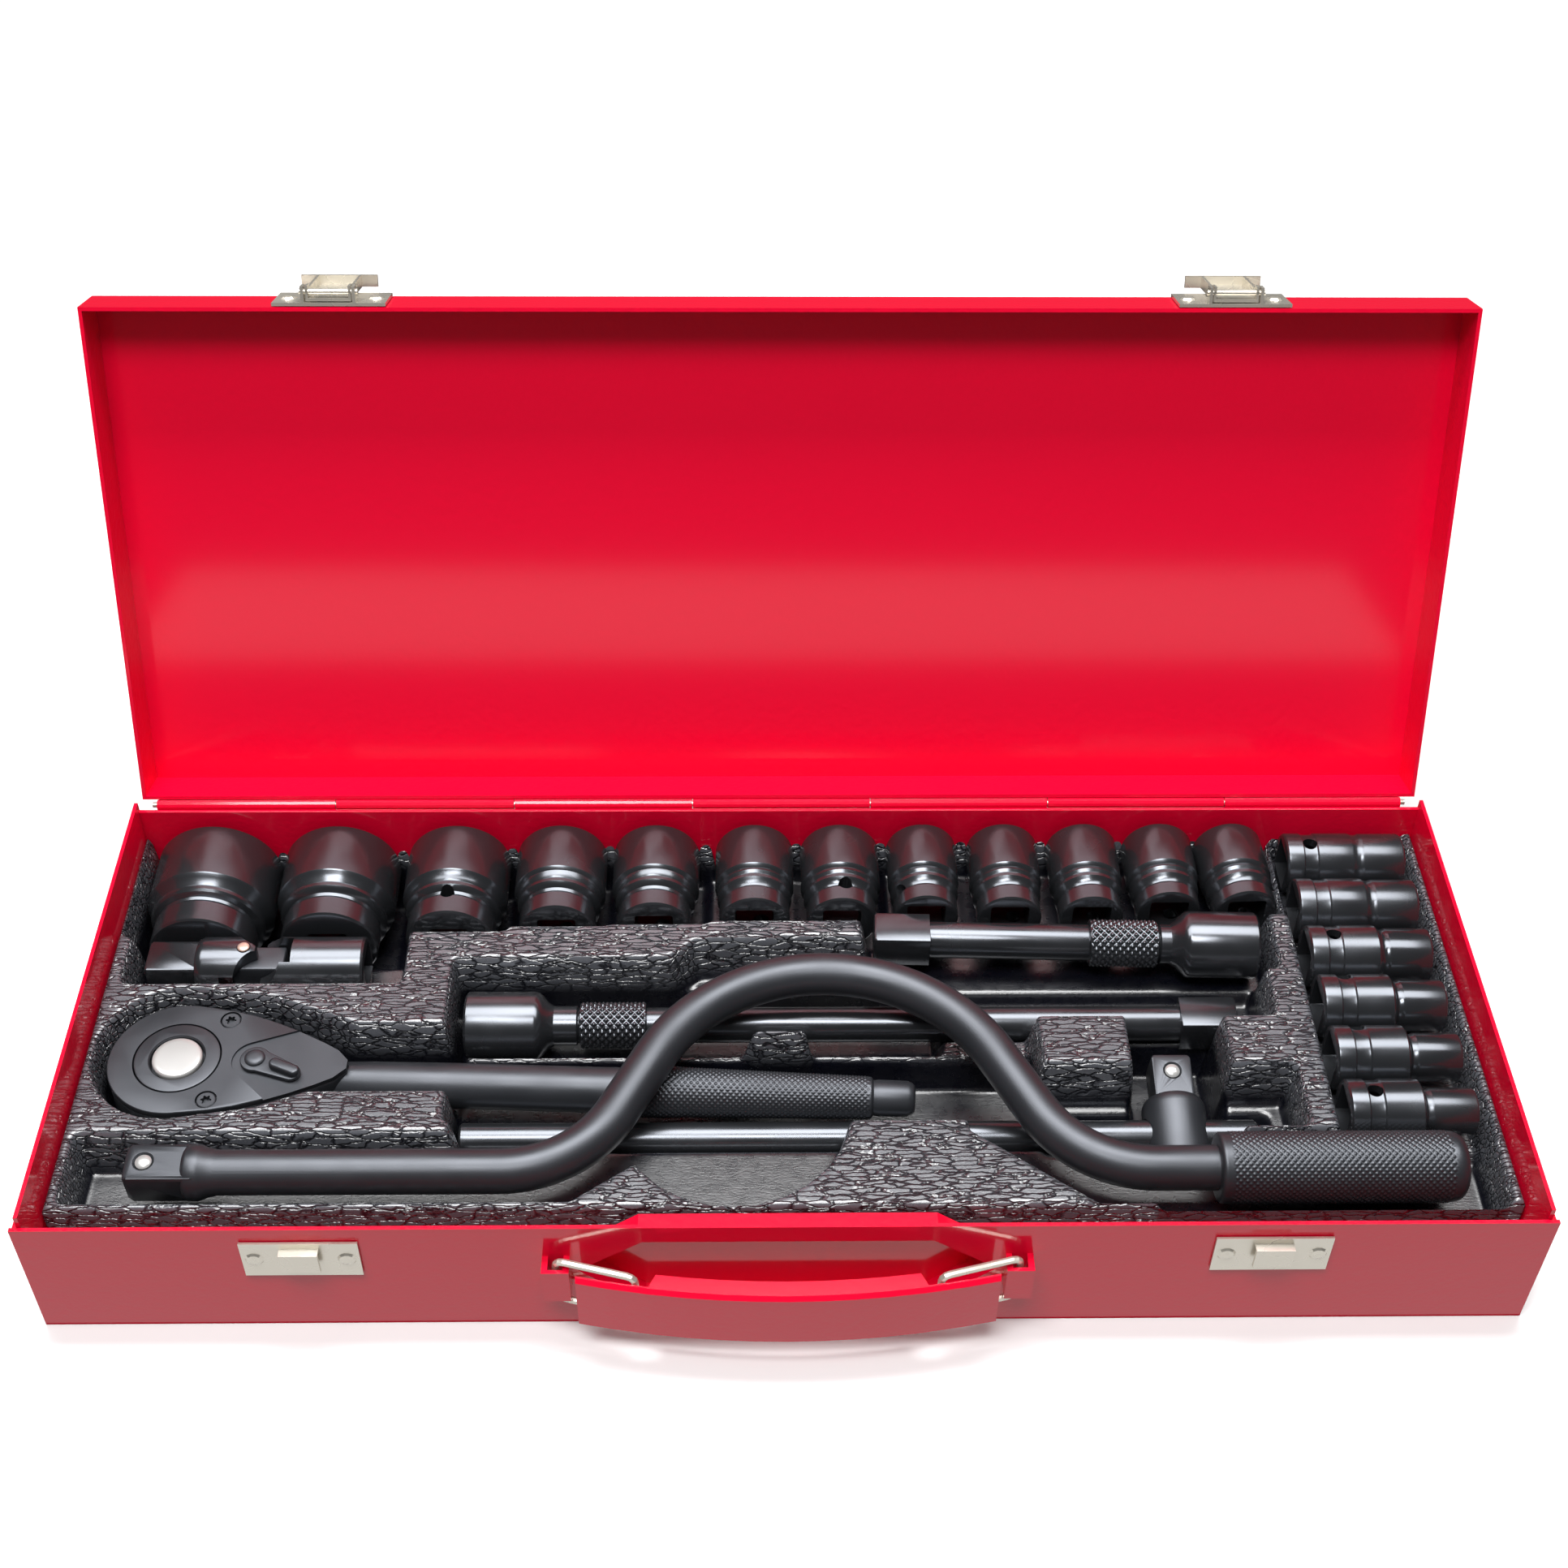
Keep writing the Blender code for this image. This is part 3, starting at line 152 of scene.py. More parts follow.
def make_studio():
    world = bpy.data.worlds.new("studio")
    bpy.context.scene.world = world
    world.use_nodes = True
    tree = world.node_tree
    background = tree.nodes["Background"]
    background.inputs["Color"].default_value = (1, 1, 1, 1)
    rays = tree.nodes.new("ShaderNodeLightPath")
    dimmed = ramp(tree, rays.outputs["Is Glossy Ray"], SKY_STRENGTH, SKY_IN_REFLECTIONS)
    tree.links.new(dimmed, background.inputs["Strength"])
    area_light("overhead", (0, 0.26, 1.7), (0, 0, 0), (1.0, 0.30), 27)
    area_light("front_fill", (-0.2, -0.55, 1.7), (0, 0.05, 0.1), (0.9, 0.5), 24)
    # a low strip in front of the case, whose image is the pale band across the lid
    card_y, low, high, wide, narrow = -0.5, 0.062, 0.118, 0.40, 0.36
    corners = [(-wide, card_y, low), (-narrow, card_y, high), (narrow, card_y, high), (wide, card_y, low)]
    emitter("low_strip", corners, 1.1)
    # a pale card on the floor, whose image is the sheen of the front panel
    emitter("front_card", level_corners(0.4, -0.36, -0.085, 0), 1.0)
    # a broad card above, whose image is the sheen along the bars and sockets
    emitter("sky_card", level_corners(0.8, -0.05, 0.5, 1), 9.0)
    floor = sheet("floor", level_corners(FLOOR_SIZE, -FLOOR_SIZE, FLOOR_SIZE, 0))
    floor.location.z = -FLOOR_DROP
    floor.data.materials.append(finish_of("floor", (0.92, 0.92, 0.92), 0.8)[0])
    floor.visible_glossy = False
    floor.visible_diffuse = False
    bpy.context.scene.view_settings.view_transform = "Standard"


# ---------------------------------------------------------------- materials


def finish_of(name, colour, roughness, metallic=0.0, coat=0.0, coat_roughness=0.05):
    made = bpy.data.materials.new(name)
    made.use_nodes = True
    tree = made.node_tree
    shader = tree.nodes["Principled BSDF"]
    shader.inputs["Base Color"].default_value = (*colour, 1)
    shader.inputs["Roughness"].default_value = roughness
    shader.inputs["Metallic"].default_value = metallic
    shader.inputs["Coat Weight"].default_value = coat
    shader.inputs["Coat Roughness"].default_value = coat_roughness
    return made, tree, shader


def texture(tree, kind, scale, stretch=(1, 1, 1), **settings):
    """A texture node in the object's own coordinates."""
    place = tree.nodes.new("ShaderNodeTexCoord")
    mapping = tree.nodes.new("ShaderNodeMapping")
    mapping.inputs["Scale"].default_value = stretch
    made = tree.nodes.new(kind)
    made.inputs["Scale"].default_value = scale
    for key, value in settings.items():
        if key in made.inputs:
            made.inputs[key].default_value = value
        else:
            setattr(made, key, value)
    tree.links.new(place.outputs["Object"], mapping.inputs["Vector"])
    tree.links.new(mapping.outputs["Vector"], made.inputs["Vector"])
    return made


def bump(tree, shader, height, strength, distance, before=None):
    made = tree.nodes.new("ShaderNodeBump")
    made.inputs["Strength"].default_value = strength
    made.inputs["Distance"].default_value = distance
    tree.links.new(height, made.inputs["Height"])
    if before:
        tree.links.new(before.outputs["Normal"], made.inputs["Normal"])
    tree.links.new(made.outputs["Normal"], shader.inputs["Normal"])
    return made


def ramp(tree, value, low, high, start=0.0, end=1.0):
    """Maps value between start and end onto low and high."""
    made = tree.nodes.new("ShaderNodeMapRange")
    made.inputs["From Min"].default_value = start
    made.inputs["From Max"].default_value = end
    made.inputs["To Min"].default_value = low
    made.inputs["To Max"].default_value = high
    tree.links.new(value, made.inputs["Value"])
    return made.outputs["Result"]


def red_paint():
    made, tree, shader = finish_of("red_paint", (0.80, 0.0008, 0.030), 0.34, coat=0.9, coat_roughness=0.09)
    slow = texture(tree, "ShaderNodeTexNoise", 45, Detail=1.0)
    peel = texture(tree, "ShaderNodeTexNoise", 420, Detail=1.5)
    first = bump(tree, shader, slow.outputs[0], 0.02, 0.002)
    bump(tree, shader, peel.outputs[0], 0.22, 0.0006, first)
    tree.links.new(ramp(tree, slow.outputs[0], 0.30, 0.38), shader.inputs["Roughness"])
    shader.inputs["Specular IOR Level"].default_value = 0.05
    return made


# which sockets of a Mix node carry its vectors and its colours
VECTOR_A, VECTOR_B, VECTOR_OUT = 4, 5, 1
COLOUR_A, COLOUR_B, COLOUR_OUT = 6, 7, 2


def tray_plastic():
    """Dark plastic, smooth in the pockets and wrinkled like leather on the lands. The lands' plateaus are
    painted grey as their sheen, and the cracks and pockets are painted near black as shade.
    """
    made, tree, shader = finish_of("tray_plastic", (0.010, 0.012, 0.022), 0.3)
    shader.inputs["Specular IOR Level"].default_value = 1.0
    warp = texture(tree, "ShaderNodeTexNoise", 260, Detail=2.0)
    tree.links.new(ramp(tree, warp.outputs[0], 0.20, 0.36), shader.inputs["Roughness"])
    # long folds across the case, a little bent
    cells = texture(tree, "ShaderNodeTexVoronoi", 400, (0.34, 1.8, 1.0), feature="DISTANCE_TO_EDGE")
    stretched = cells.inputs["Vector"].links[0].from_socket
    bent = tree.nodes.new("ShaderNodeMix")
    bent.data_type = "VECTOR"
    bent.inputs["Factor"].default_value = 0.0022
    tree.links.new(stretched, bent.inputs[VECTOR_A])
    tree.links.new(warp.outputs["Color"], bent.inputs[VECTOR_B])
    tree.links.new(bent.outputs[VECTOR_OUT], cells.inputs["Vector"])
    folds = ramp(tree, cells.outputs["Distance"], 0.0, 1.0, 0.0, 0.14)
    # the folds and the painted grey sheen fade out below the lands, so the pockets take the near-black
    # painted shade
    position = stretched.node.inputs["Vector"].links[0].from_socket
    level = tree.nodes.new("ShaderNodeSeparateXYZ")
    tree.links.new(position, level.inputs[0])
    land_grain_and_sheen_mask = ramp(tree, level.outputs["Z"], 0.02, 1.0, 23 * MM, 28 * MM)
    grain_and_painted_sheen = tree.nodes.new("ShaderNodeMath")
    grain_and_painted_sheen.operation = "MULTIPLY"
    tree.links.new(folds, grain_and_painted_sheen.inputs[0])
    tree.links.new(land_grain_and_sheen_mask, grain_and_painted_sheen.inputs[1])
    fine = texture(tree, "ShaderNodeTexNoise", 1500, (0.6, 1.2, 1.0), Detail=2.0)
    first = bump(tree, shader, fine.outputs[0], 0.12, 0.0003)
    bump(tree, shader, grain_and_painted_sheen.outputs[0], 0.9, 0.0005, first)
    # painted sheen and shade: grey on the lands' plateaus for their sheen, near black in the cracks and
    # pockets for shade
    sheen_and_shade_paint = tree.nodes.new("ShaderNodeMix")
    sheen_and_shade_paint.data_type = "RGBA"
    sheen_and_shade_paint.inputs[COLOUR_A].default_value = (0.0008, 0.001, 0.004, 1)
    sheen_and_shade_paint.inputs[COLOUR_B].default_value = (0.085, 0.089, 0.102, 1)
    tree.links.new(grain_and_painted_sheen.outputs[0], sheen_and_shade_paint.inputs["Factor"])
    tree.links.new(sheen_and_shade_paint.outputs[COLOUR_OUT], shader.inputs["Base Color"])
    return made


def metal(name, colour, rough_low, rough_high, grain, strength, metallic):
    """Brushed or plated metal with a fine grain and cloudy gloss."""
    made, tree, shader = finish_of(name, colour, rough_low, metallic)
    noise = texture(tree, "ShaderNodeTexNoise", grain, Detail=3.0)
    cloud = texture(tree, "ShaderNodeTexNoise", 60, Detail=2.0)
    tree.links.new(ramp(tree, cloud.outputs[0], rough_low, rough_high, 0.3, 0.7), shader.inputs["Roughness"])
    bump(tree, shader, noise.outputs[0], strength, 0.0003)
    return made


def make_finishes():
    return {
        "red_paint": red_paint(),
        "tray_plastic": tray_plastic(),
        "nickel": metal("nickel", (0.66, 0.62, 0.54), 0.22, 0.34, 700, 0.06, 0.7),
        "black_chrome": metal("black_chrome", (0.085, 0.090, 0.100), 0.19, 0.28, 1500, 0.01, 0.85),
        "black_steel": metal("black_steel", (0.040, 0.043, 0.050), 0.36, 0.46, 2200, 0.06, 0.6),
        "bright_steel": metal("bright_steel", (0.44, 0.44, 0.43), 0.25, 0.35, 1500, 0.01, 0.3),
    }


# ---------------------------------------------------------------- mesh helpers


def finished(mesh, name, node, angle=35, nodes=()):
    """An object for the mesh that stands for a CAD node, in its finish, on its body."""
    mesh.name = name
    obj = bpy.data.objects.new(name, mesh)
    bpy.context.scene.collection.objects.link(obj)
    mesh.materials.clear()
    mesh.materials.append(FINISHES[SLOT_OF[node]])
    mesh.shade_smooth()
    mesh.set_sharp_from_angle(angle=math.radians(angle))
    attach(obj, BODY_OF[node])
    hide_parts(node, *nodes)


def added(mesh, name, node, slot, finish=None):
    """A further piece on the node's body, smooth all over."""
    obj = bpy.data.objects.new(name, mesh)
    bpy.context.scene.collection.objects.link(obj)
    mesh.materials.append(finish or FINISHES[slot])
    mesh.shade_smooth()
    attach(obj, BODY_OF[node])


def soften(name, width):
    """Rounds a carried-over CAD node's edges."""
    sharp = math.radians(40)
    node = NODES[name]
    step = node.modifiers.new("edges", "BEVEL")
    step.width = width
    step.segments = 2
    step.limit_method = "ANGLE"
    step.angle_limit = sharp
    step.harden_normals = False
    node.data.shade_smooth()
    node.data.set_sharp_from_angle(angle=sharp)


def mesh_from(bm):
    bmesh.ops.recalc_face_normals(bm, faces=bm.faces)
    mesh = bpy.data.meshes.new("shape")
    bm.to_mesh(mesh)
    bm.free()
    return mesh


def skinned(bm, rings):
    """A closed skin over rings of equally many vertices, capped at both ends."""
    sides = len(rings[0])
    for ring, beyond in zip(rings, rings[1:]):
        for i in range(sides):
            j = (i + 1) % sides
            bm.faces.new((ring[i], ring[j], beyond[j], beyond[i]))
    bm.faces.new(rings[0])
    bm.faces.new(rings[-1])
    return mesh_from(bm)


def turned(profile, sides, place, wave=None):
    """A solid of revolution about local Z from (z, radius) pairs. wave(z, angle) adds to the radius."""
    bm = bmesh.new()
    rings = []
    for z, radius in profile:
        ring = []
        for i in range(sides):
            a = math.tau * (i + 0.5) / sides
            r = radius + (wave(z, a) if wave else 0)
            ring.append(bm.verts.new(place @ Vector((r * math.cos(a), r * math.sin(a), z))))
        rings.append(ring)
    return skinned(bm, rings)


def rod(radius, start, end, sides, place):
    """A plain round bar along local Z, for cutting holes."""
    return turned([(start, radius), (end, radius)], sides, place)


def block(low, high, bevel=0.0):
    bm = bmesh.new()
    bmesh.ops.create_cube(bm, size=1)
    for vert in bm.verts:
        vert.co = Vector([(a + b) / 2 + (b - a) * c for a, b, c in zip(low, high, vert.co)])
    if bevel:
        bmesh.ops.bevel(bm, geom=bm.edges, offset=bevel, segments=3, profile=0.5, affect="EDGES")
    return mesh_from(bm)


def prism(outline, low, high, place, bevel=0.0):
    """An outline in local X and Y, extruded from low to high, with its rims rounded."""
    bm = bmesh.new()
    face = bm.faces.new([bm.verts.new((x, y, low)) for x, y in outline])
    pulled = bmesh.ops.extrude_face_region(bm, geom=[face])["geom"]
    verts = [v for v in pulled if isinstance(v, bmesh.types.BMVert)]
    bmesh.ops.translate(bm, verts=verts, vec=(0, 0, high - low))
    if bevel:
        rims = [e for e in bm.edges if abs(e.verts[0].co.z - e.verts[1].co.z) < 1e-9]
        bmesh.ops.bevel(bm, geom=rims, offset=bevel, segments=3, profile=0.5, affect="EDGES")
    bm.transform(place)
    return mesh_from(bm)


def square_bar(half, start, end, place, edge=0.9 * MM, tip=1.0 * MM):
    """A square drive along local Z with rounded edges and a chamfered far end."""
    bm = bmesh.new()

    def section(h, z):
        corner = h - 0.3 * edge
        ring = []
        for k in range(4):
            turn = Matrix.Rotation(QUARTER * k, 2)
            for x, y in ((h, -h + edge), (h, h - edge), (corner, corner)):
                at = turn @ Vector((x, y))
                ring.append(bm.verts.new(place @ Vector((at.x, at.y, z))))
        return ring

    levels = [(half, start), (half, end - tip), (half - 0.35 * tip, end - 0.3 * tip), (half - tip, end)]
    return skinned(bm, [section(h, z) for h, z in levels])


def combined(mesh, others, operation):
    """The mesh with the others cut from it or joined to it."""
    obj = bpy.data.objects.new("work", mesh)
    bpy.context.scene.collection.objects.link(obj)
    for other in others:
        tool = bpy.data.objects.new("tool", other)
        bpy.context.scene.collection.objects.link(tool)
        step = obj.modifiers.new(operation, "BOOLEAN")
        step.operation = operation
        step.object = tool
        graph = bpy.context.evaluated_depsgraph_get()
        result = bpy.data.meshes.new_from_object(obj.evaluated_get(graph))
        obj.modifiers.clear()
        obj.data = result
        bpy.data.objects.remove(tool, do_unlink=True)
    result = obj.data
    bpy.data.objects.remove(obj, do_unlink=True)
    return result


def cut(mesh, *others):
    return combined(mesh, others, "DIFFERENCE")


def join(mesh, *others):
    return combined(mesh, others, "UNION")


def along(start, end):
    """A matrix that takes local Z onto the line from start to end, with its origin at start."""
    way = (Vector(end) - Vector(start)).normalized()
    side = Vector((0, 0, 1)).cross(way) if abs(way.z) < 0.9 else Vector((1, 0, 0))
    side.normalize()
    return Matrix.Translation(start) @ Matrix((side, way.cross(side), way)).transposed().to_4x4()


def upright(x, y, z):
    """Local Z straight up from a point."""
    return along((x, y, z), (x, y, z + 1))


def across(x, y, z):
    """Local Z along Y from a point."""
    return along((x, y, z), (x, y + 1, z))


# how much of a round node is taken for its end face
CAP_DEPTH = 1.6 * MM


def spine(node, axis):
    """The two end centres of a long round node along X (0) or Y (1), and the radius at each end."""
    points = np.array([v.co for v in NODES[node].data.vertices])
    ends = []
    for sign in (1, -1):
        reach = (sign * points[:, axis]).min()
        cap = points[sign * points[:, axis] < reach + CAP_DEPTH]
        centre = (cap.min(0) + cap.max(0)) / 2
        radius = (cap[:, 2].max() - cap[:, 2].min()) / 2
        ends.append((Vector(centre), radius))
    return ends


def knurl(depth, pitch, radius):
    """A wave of small diamonds for a turned surface."""
    count = round(math.tau * radius / pitch)

    def wave(z, a):
        u = count * a / 2
        v = math.pi * z / pitch
        ridge = max(abs(math.sin(u + v)), abs(math.sin(u - v)))
        return depth * (1 - ridge ** 2 * 1.6)

    return wave


def fading(wave, start, end, width):
    """The wave between two stations, fading out over a width at each of them."""

    def faded(z, a):
        near = min(z - start, end - z) / width
        return 0 if near <= 0 else wave(z, a) * min(near, 1)

    return faded


def arc(cx, cy, radius, start, end, steps):
    """Points on an arc, with both ends. Angles are in degrees."""
    angles = [math.radians(start + (end - start) * i / steps) for i in range(steps + 1)]
    return [(cx + radius * math.cos(a), cy + radius * math.sin(a)) for a in angles]


FINISHES = make_finishes()
make_camera()
make_studio()

for name, node in NODES.items():
    node.data.materials.clear()
    node.data.materials.append(FINISHES[SLOT_OF[name]])


# ---------------------------------------------------------------- sockets


def socket_profile(length, drive_r, nut_r, row):
    """(z, radius) pairs from the drive end to the nut end."""
    edge = 0.7 * MM
    if row:
        neck = min(drive_r, nut_r) - 0.9 * MM
        ring = drive_r + (nut_r - drive_r) * 0.45
        at = length * 0.42
        return [
            (0, drive_r - 1.4 * MM), (0.25 * edge, drive_r - 0.6 * MM), (edge, drive_r),
            (at - 8.2 * MM, drive_r), (at - 7.7 * MM, neck + 0.3 * MM), (at - 6.8 * MM, neck),
            (at - 5.8 * MM, neck + 0.3 * MM), (at - 5.0 * MM, ring - 0.6 * MM), (at - 4.2 * MM, ring),
            (at - 3.0 * MM, ring), (at - 2.2 * MM, ring - 0.5 * MM), (at - 1.2 * MM, ring + 0.1 * MM),
            (at + 0.2 * MM, nut_r - 1.0 * MM), (at + 0.9 * MM, nut_r - 0.3 * MM), (at + 1.4 * MM, nut_r),
            (length - 1.2 * MM, nut_r), (length - 0.5 * MM, nut_r - 0.3 * MM), (length, nut_r - 1.1 * MM),
        ]
    step = length * 0.57
    groove = drive_r - 0.5 * MM
    fall = drive_r - nut_r
    return [
        (0, drive_r - 1.3 * MM), (0.2 * MM, drive_r - 0.6 * MM), (edge, drive_r - 0.1 * MM),
        (1.4 * MM, drive_r), (5.6 * MM, drive_r), (6.1 * MM, groove + 0.1 * MM), (6.8 * MM, groove),
        (9.6 * MM, groove), (10.3 * MM, groove + 0.1 * MM), (10.8 * MM, drive_r),
        (step - 0.6 * MM, drive_r), (step, drive_r - 0.25 * MM - fall * 0.1),
        (step + 0.8 * MM, nut_r - 0.35 * MM + fall * 0.2), (step + 1.5 * MM, nut_r - 0.45 * MM),
        (step + 2.6 * MM, nut_r - 0.4 * MM), (step + 3.3 * MM, nut_r), (length - 1.0 * MM, nut_r),
        (length - 0.4 * MM, nut_r - 0.25 * MM), (length, nut_r - 0.9 * MM),
    ]


# sockets to the left of this station lie in the row, the others in the column
ROW_END = 0.168
# which way the cross holes in the row face, in degrees. 90 is straight up
HOLE_TURNS = {"socket_27mm": 88, "socket_21mm": 96, "socket_20mm": 34}
HIDDEN_TURN = 250


def in_row(node):
    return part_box(node)[1].x < ROW_END


def hole_turn(node, size, row):
    """The turn of a socket's cross hole. In the column they all differ a little."""
    if row:
        return HOLE_TURNS.get(node, HIDDEN_TURN)
    return 62 + 30 * math.sin(size * 2600)


def make_sockets():
    for node in sorted(n for n in NODES if n.startswith("socket_")):
        size = float(node[len("socket_"):-len("mm")]) * MM
        row = in_row(node)
        (start, drive_r), (end, nut_r) = spine(node, 1 if row else 0)
        length = (end - start).length
        place = along(start, end)
        body = turned(socket_profile(length, drive_r, nut_r, row), 72, place)
        hexagon = size / math.sqrt(3)
        seat = 15 * MM
        bore = [
            (seat, hexagon - 1.2 * MM), (seat + 1.2 * MM, hexagon), (length - 1.2 * MM, hexagon),
            (length + 0.4 * MM, hexagon + 1.2 * MM),
        ]
        hole_z = length * 0.42 - 6.8 * MM if row else 8.2 * MM
        turn = math.radians(hole_turn(node, size, row))
        aim = place @ Matrix.Translation((0, 0, hole_z)) @ Matrix.Rotation(turn, 4, "Z")
        hole = rod(2.4 * MM, 0, drive_r + 3 * MM, 24, aim @ Z_TO_X)
        drive = square_bar(DRIVE_HALF, -2 * MM, 16 * MM, place)
        finished(cut(body, drive, turned(bore, 6, place), hole), "look_" + node, node, 28)


make_sockets()


# ---------------------------------------------------------------- tray


def softened(heights, step, radius):
    """The height field blurred so that its corners round off."""
    reach = int(3 * radius / step) + 1
    kernel = np.exp(-0.5 * (np.arange(-reach, reach + 1) * step / radius) ** 2)
    kernel /= kernel.sum()
    for axis in (0, 1):
        padded = np.pad(heights, [(reach, reach) if a == axis else (0, 0) for a in (0, 1)], "edge")
        heights = np.apply_along_axis(lambda line: np.convolve(line, kernel, "valid"), axis, padded)
    return heights


def make_tray():
    """The top surface of the CAD tray, resampled with rounded corners, over its skirt."""
    node = "tool_tray"
    step = 0.7 * MM
    low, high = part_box(node)
    xs = np.linspace(low.x, high.x, round((high.x - low.x) / step) + 1)
    ys = np.linspace(low.y, high.y, round((high.y - low.y) / step) + 1)
    tree = BVHTree.FromObject(NODES[node], bpy.context.evaluated_depsgraph_get())
    heights = np.zeros((len(xs), len(ys)))
    down = Vector((0, 0, -1))
    inset = 0.02 * MM
    for i, x in enumerate(np.clip(xs, low.x + inset, high.x - inset)):
        for j, y in enumerate(np.clip(ys, low.y + inset, high.y - inset)):
            hit = tree.ray_cast(Vector((x, y, high.z + 5 * MM)), down)[0]
            heights[i, j] = hit.z if hit else low.z
    # a thin rim stands up between neighbouring sockets at the back
    centres = sorted(spine(n, 1)[0][0].x for n in NODES if n.startswith("socket_") and in_row(n))
    at_back = (np.abs(ys - high.y + 1.3 * MM) < 1.1 * MM)[None, :]
    for x in [(a + b) / 2 for a, b in zip(centres, centres[1:])]:
        lift = np.clip(1 - np.abs(xs - x) / (3.2 * MM), 0, 1)[:, None] * at_back
        heights = np.maximum(heights, np.where(lift > 0, high.z + 3 * MM * lift, 0))
    heights = softened(heights, step, 0.95 * MM)
    edge = 1.6 * MM
    gap_x = np.minimum(xs - low.x, high.x - xs)[:, None]
    gap_y = np.minimum(ys - low.y, high.y - ys)[None, :]
    inward = np.clip(1 - np.minimum(gap_x, gap_y) / edge, 0, 1)
    heights -= edge * (1 - np.sqrt(1 - inward ** 2)) * (heights > high.z - 4 * MM)
    bm = bmesh.new()
    grid = [[bm.verts.new((x, y, heights[i, j])) for j, y in enumerate(ys)] for i, x in enumerate(xs)]
    for i in range(len(xs) - 1):
        for j in range(len(ys) - 1):
            bm.faces.new((grid[i][j], grid[i + 1][j], grid[i + 1][j + 1], grid[i][j + 1]))
    front = [line[0] for line in grid]
    back = [line[-1] for line in reversed(grid[:-1])]
    rim = front + grid[-1][1:] + back + grid[0][-2:0:-1]
    foot = [bm.verts.new((v.co.x, v.co.y, low.z)) for v in rim]
    for k in range(len(rim)):
        n = (k + 1) % len(rim)
        bm.faces.new((rim[k], foot[k], foot[n], rim[n]))
    mesh = bpy.data.meshes.new("shape")
    bm.to_mesh(mesh)
    bm.free()
    finished(mesh, "look_tool_tray", node, 60)


# ---------------------------------------------------------------- extensions, bars and joint


def band(start, end, radius, place):
    """A knurled sleeve between two stations, closed at both ends."""
    rows = 110
    profile = [(start - 0.5 * MM, radius - 1.4 * MM), (start - 0.1 * MM, radius - 0.5 * MM)]
    profile += [(start + (end - start) * i / rows, radius) for i in range(rows + 1)]
    profile += [(end + 0.1 * MM, radius - 0.5 * MM), (end + 0.5 * MM, radius - 1.4 * MM)]
    wave = knurl(0.45 * MM, 2.6 * MM, radius)
    return turned(profile, 240, place, fading(wave, start, end, 0.6 * MM))


def ball_dome(radius, place):
    """A spring-loaded ball that shows in a drive square's face."""
    points = [(-0.8 * MM, radius * 0.96)]
    points += [(radius * 0.42 * math.sin(t), radius * math.cos(t)) for t in (0.2, 0.5, 0.8, 1.1, 1.35, 1.5)]
    return turned(points, 32, place)


def make_extension(node, knurl_from, knurl_to, rod_r):
    """A round bar with a drive socket, a drive square and a knurled sleeve between two stations."""
    ends = spine(node, 0)
    (start, _), (end, _) = reversed(ends) if ends[1][1] > ends[0][1] else ends
    length = (end - start).length
    place = along(start, end)
    cup_r = 11 * MM
    cup_end = 23.5 * MM
    neck = rod_r + 0.6 * MM
    groove = rod_r - 0.2 * MM
    profile = [
        (0, cup_r - 1.6 * MM), (0.2 * MM, cup_r - 0.8 * MM), (0.9 * MM, cup_r - 0.1 * MM),
        (1.6 * MM, cup_r), (cup_end - 1.0 * MM, cup_r), (cup_end, cup_r - 0.25 * MM),
        (cup_end + 1.6 * MM, cup_r - 1.6 * MM), (cup_end + 3.2 * MM, neck + 1.1 * MM),
        (cup_end + 5 * MM, neck), (knurl_from - 1.2 * MM, neck), (knurl_from - 0.6 * MM, groove),
        (knurl_from, groove), (knurl_to, groove), (knurl_to + 0.8 * MM, rod_r), (length - 19 * MM, rod_r),
        (length - 18 * MM, groove), (length - 16.8 * MM, rod_r - 0.9 * MM),
    ]
    bar = turned(profile, 56, place)
    bar = join(bar, square_bar(PLUG_HALF, length - 18.4 * MM, length, place))
    bar = cut(bar, square_bar(DRIVE_HALF, -2 * MM, 15 * MM, place))
    finished(bar, "look_" + node, node, 30)
    sleeve = band(knurl_from, knurl_to, rod_r + 1.45 * MM, place)
    added(sleeve, "look_" + node + "_knurl", node, "black_chrome")


def make_extensions():
    make_extension("extension_long", 37 * MM, 58 * MM, 5.75 * MM)
    make_extension("extension_short", 33 * MM, 55 * MM, 6 * MM)


